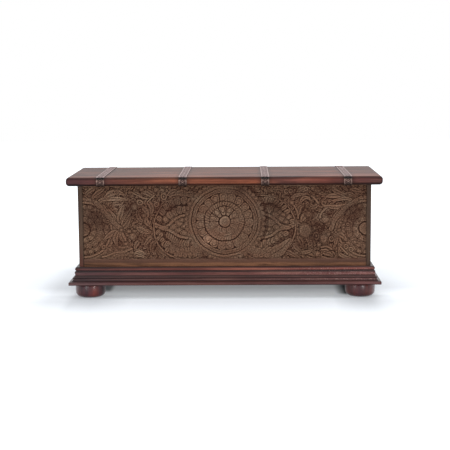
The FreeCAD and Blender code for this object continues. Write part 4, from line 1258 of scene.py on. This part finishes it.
def strap_finish():
    """Worn steel over black patina in the sunk places, darker down the lid's nose and black in the bend at
    its edge as painted shade.
    """
    made = Finish("strap_metal", 0.42)
    rust = made.noise(made.place, 160.0, 3.0, 0.6)
    clouds = made.noise(made.place, 30.0, 2.0)
    bright = made.mix(clouds, display(200, 172, 170), display(160, 144, 140))
    high = made.ramp(made.marked("strap_height"), (0.12, 0.0), (0.6, 1.0))
    made.set("Base Color", made.mix(high, display(90, 68, 68), bright))
    made.tint(rust, (0.35, 0.45), (0.6, 1.05), share=0.6)
    low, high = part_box("lid_board_front")
    # Painted shade down the nose, black in the bend
    made.tint(made.between("Z", low.z, high.z), *STRAP_NOSE_SHADE_SHARES)
    made.set("Specular IOR Level", 0.2)
    made.set("Metallic", 0.4)
    made.set("Roughness", made.ramp(rust, (0.3, 0.6), (0.7, 0.36)))
    made.set("Normal", made.bump(rust, 0.3, RUST_DEPTH))
    return made


def strap_mesh(outer, under):
    """Points and faces of a strap: its outside as rows of points, and both edges of its underside."""
    rows, columns, _ = outer.shape
    index = np.arange(rows * columns).reshape(rows, columns)
    left = rows * columns + np.arange(rows)
    right = left + rows
    below = np.stack([left[:-1], left[1:], right[1:], right[:-1]], -1)
    edges = [np.stack([index[:-1, 0], index[1:, 0], left[1:], left[:-1]], -1),
             np.stack([index[1:, -1], index[:-1, -1], right[:-1], right[1:]], -1)]
    ends = [[*index[0, ::-1].tolist(), int(left[0]), int(right[0])],
            [*index[-1].tolist(), int(right[-1]), int(left[-1])]]
    faces = np.concatenate([grid_faces(index), below, *edges])[:, ::-1].tolist() + [end[::-1] for end in ends]
    return np.concatenate([outer.reshape(-1, 3), *under]).tolist(), faces


class CHEST_OT_straps(bpy.types.Operator):
    """Lay the embossed straps over the lid"""
    bl_idname = "chest.straps"
    bl_label = "Straps"

    def execute(self, context):
        settings = context.scene.chest_straps
        made = strap_finish()
        path, facing, along = lid_section(settings.cell * CELL_STRETCH, settings.nose_radius)
        bed = path + facing * settings.bed
        _, board_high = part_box("lid_board_front")
        for node in named("lid_strap"):
            low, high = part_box(node)
            width = high.x - low.x
            middle = (low.x + high.x) / 2
            skin = high.z - board_high.z - settings.rim_height
            across = np.linspace(-width / 2, width / 2, round(width / settings.cell) + 1)
            run, side = np.meshgrid(along, across, indexing="ij")
            height = embossed(run, side, width, settings)
            height[:, [0, -1]] = 0
            height[[0, -1], :] = 0
            lift = skin + height
            outer = np.stack([middle + side, path[:, :1] + facing[:, :1] * lift,
                              path[:, 1:] + facing[:, 1:] * lift], -1)
            under = [np.column_stack([np.full(len(bed), middle + end * width / 2), bed]) for end in (-1, 1)]
            points, faces = strap_mesh(outer, under)
            strap = mesh_piece(node + "_embossed", points, faces, made, "lid", [node])
            mark(strap, "strap_height",
                 np.concatenate([(height / settings.rim_height).ravel(), np.zeros(2 * len(bed))]))
        return {"FINISHED"}


# Shape of a nail from the middle of its head out and down: radius and height, as shares of the
# head's radius
NAIL_SHARES = ((0.0, 0.42), (0.3, 0.4), (0.6, 0.31), (0.85, 0.16), (1.0, 0.0), (0.28, -0.02), (0.26, -4.0),
               (0.0, -4.6))


def metal(name, gloss, metallic, scale, dark, light):
    """Cloudy metal in two tones."""
    made = Finish(name, gloss)
    made.set("Base Color", made.mix(made.noise(made.place, scale), dark, light))
    made.set("Metallic", metallic)
    return made


class CHEST_OT_nails(bpy.types.Operator):
    """Drive the domed nails through the straps"""
    bl_idname = "chest.nails"
    bl_label = "Nails"

    def execute(self, context):
        settings = context.scene.chest_straps
        _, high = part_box("strap_nails")
        seat = high.z - NAIL_SHARES[0][1] * settings.nail_radius
        reach = high.y - settings.nail_radius
        points = []
        faces = []
        for x in strap_places():
            for y in (-reach, 0, reach):
                self.nail(points, faces, (x, y, seat), settings.nail_radius)
        made = metal("nail_iron", 0.45, 0.8, 300.0, display(96, 88, 86), display(150, 142, 138))
        mesh_piece("strap_nails_domed", points, faces, made, "lid", ["strap_nails"])
        return {"FINISHED"}

    def nail(self, points, faces, place, radius, sides=16):
        """Add one nail: rings of points from its head down, and a point at each of its ends."""
        start = len(points)
        rings = NAIL_SHARES[1:-1]
        for out, up in rings:
            for number in range(sides):
                x, y = around(place, out * radius, FULL_TURN * number / sides)
                points.append((x, y, place[2] + up * radius))
        top = len(points)
        for _, up in (NAIL_SHARES[0], NAIL_SHARES[-1]):
            points.append((place[0], place[1], place[2] + up * radius))
        for ring in range(len(rings) - 1):
            for number in range(sides):
                following = (number + 1) % sides
                first = start + ring * sides
                second = first + sides
                faces.append((first + number, second + number, second + following, first + following))
        last = start + (len(rings) - 1) * sides
        for number in range(sides):
            following = (number + 1) % sides
            faces.append((top, start + number, start + following))
            faces.append((top + 1, last + following, last + number))


class CHEST_OT_ironwork(bpy.types.Operator):
    """Give the hinges and screws their metal"""
    bl_idname = "chest.ironwork"
    bl_label = "Ironwork"

    def execute(self, context):
        iron = metal("hinge_iron", 0.55, 0.9, 90.0, display(58, 54, 50), display(92, 84, 76))
        iron.set("Normal", iron.bump(iron.noise(iron.place, 400.0, 3.0), 0.3, RUST_DEPTH))
        paint(iron, *[node for node in named("hinge_") if "screws" not in node])
        steel = metal("screw_steel", 0.4, 1.0, 120.0, display(120, 118, 112), display(160, 158, 150))
        paint(steel, "hinge_case_screws", "hinge_lid_screws", "batten_screws")
        return {"FINISHED"}


# Stage. Two wide lights from afar, by where they come from and how wide they are, and two lamps in front.
SKY_SOURCE = (0.1, 0.1, 1)
SKY_ANGLE = 2.0
KEY_SOURCE = (0.2, -0.75, 1)
KEY_ANGLE = 1.5
LAMP_AIM = (0, 0, 0.2)
LEFT_LAMP_PLACE = (-1.3, -2.05, 0.4)
LEFT_LAMP_SIZE = (0.3, 0.8)
LEFT_LAMP_SHARE = 0.45
RIGHT_LAMP_PLACE = (1.4, -2.9, 0.4)
RIGHT_LAMP_SIZE = (0.35, 0.8)
# Backdrop: light from low down and from above, as shares of the ambient light, and how far up and from
# front to back it changes
LOW_LIGHT_SHARE = 1.5
HIGH_LIGHT_SHARE = 0.6
LIGHT_SPAN = (0.1, 0.6)
GLOSS_SPAN = (-0.6, 0.4)

# Floor: how far it reaches, and the stretches that its tones run over: from left to right, from in front
# of the chest to its middle, along a slant, beside the chest, and behind it, where it fades to white.
FLOOR_REACH = 9.0
FLOOR_STRETCH = (-0.9, 0.9)
FRONT_STRETCH = (-0.5, 0)
SLANT = 0.08
SLANT_STRETCH = (-0.2, 0.3)
SIDE_STRETCH = (-0.4, -0.12)
BACK_STRETCH = (0.4, 0.8)
BACK_GLOW = 0.3
# Shadow beside the feet, and how it fades along the slant
BESIDE_SHARES = ((0.17, 0.0), (0.2, 0.8), (0.238, 0.75), (0.248, 0.0), (0.744, 0.0), (0.756, 0.6),
                 (0.766, 0.95), (0.79, 0.95), (0.83, 0.0))
SLANT_SHARES = ((0.14, 0.0), (0.25, 1.0), (0.6, 1.0), (0.72, 0.0))
# Shadow in front of the feet, and how it fades to the front
BEFORE_SHARES = ((0.07, 0.0), (0.13, 0.1), (0.155, 0.13), (0.172, 0.28), (0.222, 0.28), (0.24, 0.21),
                 (0.256, 0.15), (0.3, 0.0), (0.733, 0.0), (0.744, 0.1), (0.772, 0.26), (0.8, 0.34),
                 (0.815, 0.32), (0.839, 0.13), (0.867, 0.0))
FRONT_SHARES = ((0.0, 0.0), (0.05, 0.2), (0.2, 0.5), (0.36, 0.85), (0.5, 1.0), (0.66, 1.0), (0.76, 0.0))
# Glow added to the setting from the front backwards, and glow from side to side beside the chest: painted
# light and shade that shape the chest's shadow on the floor
PAINTED_GLOW_SHARES = ((0.0, 0.1), (0.3, 0.04), (0.45, 0.0), (0.73, 0.12), (0.87, 0.04), (1.0, -0.04))
ASIDE_LIGHT_AND_SHADE_SHARES = ((0.0, 0.2), (0.07, 0.19), (0.12, 0.03), (0.18, 0.05), (0.24, 0.1), (0.8, 0.1), (0.86, 0.12),
                (0.93, 0.2), (1.0, 0.2))
ASIDE_LEVEL = 0.1


class CHEST_OT_studio(bpy.types.Operator):
    """Set up the camera, the lamps, the backdrop light and the floor"""
    bl_idname = "chest.studio"
    bl_label = "Studio"

    def execute(self, context):
        studio = context.scene.chest_studio
        context.scene.view_settings.view_transform = "Standard"
        camera_data = bpy.data.cameras.new("camera")
        camera_data.lens = studio.lens
        camera = new_object("camera", camera_data)
        camera.matrix_world = (Matrix.Translation(studio.camera_place)
                               @ Matrix.Rotation(-studio.camera_yaw, 4, "Z")
                               @ Matrix.Rotation(math.pi / 2 - studio.camera_pitch, 4, "X")
                               @ Matrix.Rotation(studio.camera_roll, 4, "Z"))
        context.scene.camera = camera
        self.sun("overhead_light", SKY_SOURCE, studio.sky, SKY_ANGLE)
        self.sun("key_light", KEY_SOURCE, studio.key, KEY_ANGLE)
        self.lamp("left_lamp", LEFT_LAMP_PLACE, LEFT_LAMP_SIZE, LEFT_LAMP_SHARE * studio.front_lamp)
        self.lamp("right_lamp", RIGHT_LAMP_PLACE, RIGHT_LAMP_SIZE, studio.front_lamp)
        self.backdrop(context, studio)
        self.floor(studio)
        return {"FINISHED"}

    def sun(self, name, source, strength, angle):
        data = bpy.data.lights.new(name, "SUN")
        data.energy = strength
        data.angle = angle
        light = new_object(name, data)
        light.rotation_euler = Vector(source).to_track_quat("Z", "Y").to_euler()

    def lamp(self, name, place, size, power):
        data = bpy.data.lights.new(name, "AREA")
        data.shape = "RECTANGLE"
        data.size, data.size_y = size
        data.energy = power
        lamp = new_object(name, data)
        lamp.rotation_euler = (Vector(LAMP_AIM) - Vector(place)).to_track_quat("-Z", "Y").to_euler()
        lamp.location = place

    def backdrop(self, context, studio):
        """White where it is seen, brighter behind than in front in gloss, and brighter low down as light."""
        world = bpy.data.worlds.new("studio")
        context.scene.world = world
        world.use_nodes = True
        made = Nodes(world.node_tree)
        ray = made.add("ShaderNodeLightPath")
        sweep = made.span(made.along("Z", "Generated"), *LIGHT_SPAN, LOW_LIGHT_SHARE * studio.ambient,
                          HIGH_LIGHT_SHARE * studio.ambient)
        light = made.add("ShaderNodeBackground", Color=(0.95, 0.98, 1.0, 1), Strength=sweep)
        spread = made.span(made.along("Y", "Generated"), *GLOSS_SPAN, studio.room, 1.0)
        gloss = made.add("ShaderNodeBackground", Strength=spread)
        unseen = made.blend(ray.outputs["Is Glossy Ray"], light.outputs[0], gloss.outputs[0])
        shown = world.node_tree.nodes["Background"]
        shown.inputs["Color"].default_value = (1, 1, 1, 1)
        seen = made.sum("MAXIMUM", ray.outputs["Is Camera Ray"], ray.outputs["Is Transmission Ray"])
        made.feed(world.node_tree.nodes["World Output"].inputs["Surface"],
                  made.blend(seen, unseen, shown.outputs[0]))

    def floor(self, studio):
        """Plain pale floor; its own tones carry part of the shadow round the feet, and its glow is painted
        light and shade under and beside the chest.
        """
        mesh = bpy.data.meshes.new("floor")
        signs = ((-1, -1), (1, -1), (1, 1), (-1, 1))
        mesh.from_pydata([(x * FLOOR_REACH, y * FLOOR_REACH, 0) for x, y in signs], [], [(0, 1, 2, 3)])
        made = Finish("floor", 0.7)
        made.set("Specular IOR Level", 0.2)
        ray = made.add("ShaderNodeLightPath")
        seen = made.sum("MAXIMUM", ray.outputs["Is Camera Ray"], ray.outputs["Is Transmission Ray"])
        bright = made.sum("MAXIMUM", seen, ray.outputs["Is Glossy Ray"])
        across = made.between("X", *FLOOR_STRETCH)
        ahead = made.between("Y", *FRONT_STRETCH)
        askew = made.sum("ADD", made.along("Y"), made.sum("MULTIPLY", made.along("X"), SLANT))
        beside = made.sum("MULTIPLY", made.ramp(across, *BESIDE_SHARES),
                          made.ramp(made.span(askew, *SLANT_STRETCH), *SLANT_SHARES))
        before = made.sum("MULTIPLY", made.ramp(across, *BEFORE_SHARES), made.ramp(ahead, *FRONT_SHARES))
        # Painted shadow beside and in front of the feet
        painted_shadow = made.sum("MAXIMUM", beside, before)
        pale = made.mix(bright, (0.3, 0.3, 0.31), (0.645, 0.665, 0.7))
        made.set("Base Color", made.mix(painted_shadow, pale, (0.03, 0.035, 0.04)))
        made.set("Emission Color", (0.93, 0.97, 1.0, 1))
        # Painted light and shade that shape the chest's shadow on the floor
        near = made.ramp(ahead, *((place, studio.floor_glow + step) for place, step in PAINTED_GLOW_SHARES))
        aside = made.sum("SUBTRACT", made.ramp(across, *ASIDE_LIGHT_AND_SHADE_SHARES), ASIDE_LEVEL)
        near = made.sum("ADD", near, made.sum("MULTIPLY", made.between("Y", *SIDE_STRETCH), aside))
        near = made.sum("ADD", near, made.sum("MULTIPLY", made.between("Y", *BACK_STRETCH), BACK_GLOW))
        near = made.sum("MULTIPLY", near, made.sum("SUBTRACT", 1.0, painted_shadow))
        made.set("Emission Strength", made.sum("MULTIPLY", bright, near))
        mesh.materials.append(made.material)
        floor = new_object("floor", mesh)


class CHEST_PT_panel(bpy.types.Panel):
    """Lists the pieces of the chest and their settings"""
    bl_idname = "CHEST_PT_panel"
    bl_label = "Chest"
    bl_space_type = "VIEW_3D"
    bl_region_type = "UI"
    bl_category = "Chest"

    def draw(self, context):
        for operator in PIECES:
            self.layout.operator(operator.bl_idname)
        for settings in SETTINGS:
            group = getattr(context.scene, settings)
            box = self.layout.box()
            for name in group.__annotations__:
                box.prop(group, name)


PIECES = (CHEST_OT_studio, CHEST_OT_carved_front, CHEST_OT_woodwork, CHEST_OT_straps, CHEST_OT_nails,
          CHEST_OT_ironwork)
SETTINGS = {"chest_carving": CarvingSettings, "chest_straps": StrapSettings, "chest_studio": StudioSettings}


def register():
    for kind in (*SETTINGS.values(), *PIECES, CHEST_PT_panel):
        bpy.utils.register_class(kind)
    for name, kind in SETTINGS.items():
        setattr(bpy.types.Scene, name, bpy.props.PointerProperty(type=kind))


def unregister():
    for name in SETTINGS:
        delattr(bpy.types.Scene, name)
    for kind in reversed((*SETTINGS.values(), *PIECES, CHEST_PT_panel)):
        bpy.utils.unregister_class(kind)


def main():
    register()
    bpy.ops.chest.studio()
    bpy.ops.chest.carved_front()
    bpy.ops.chest.woodwork()
    bpy.ops.chest.straps()
    bpy.ops.chest.nails()
    bpy.ops.chest.ironwork()


if __name__ == "__main__":
    main()
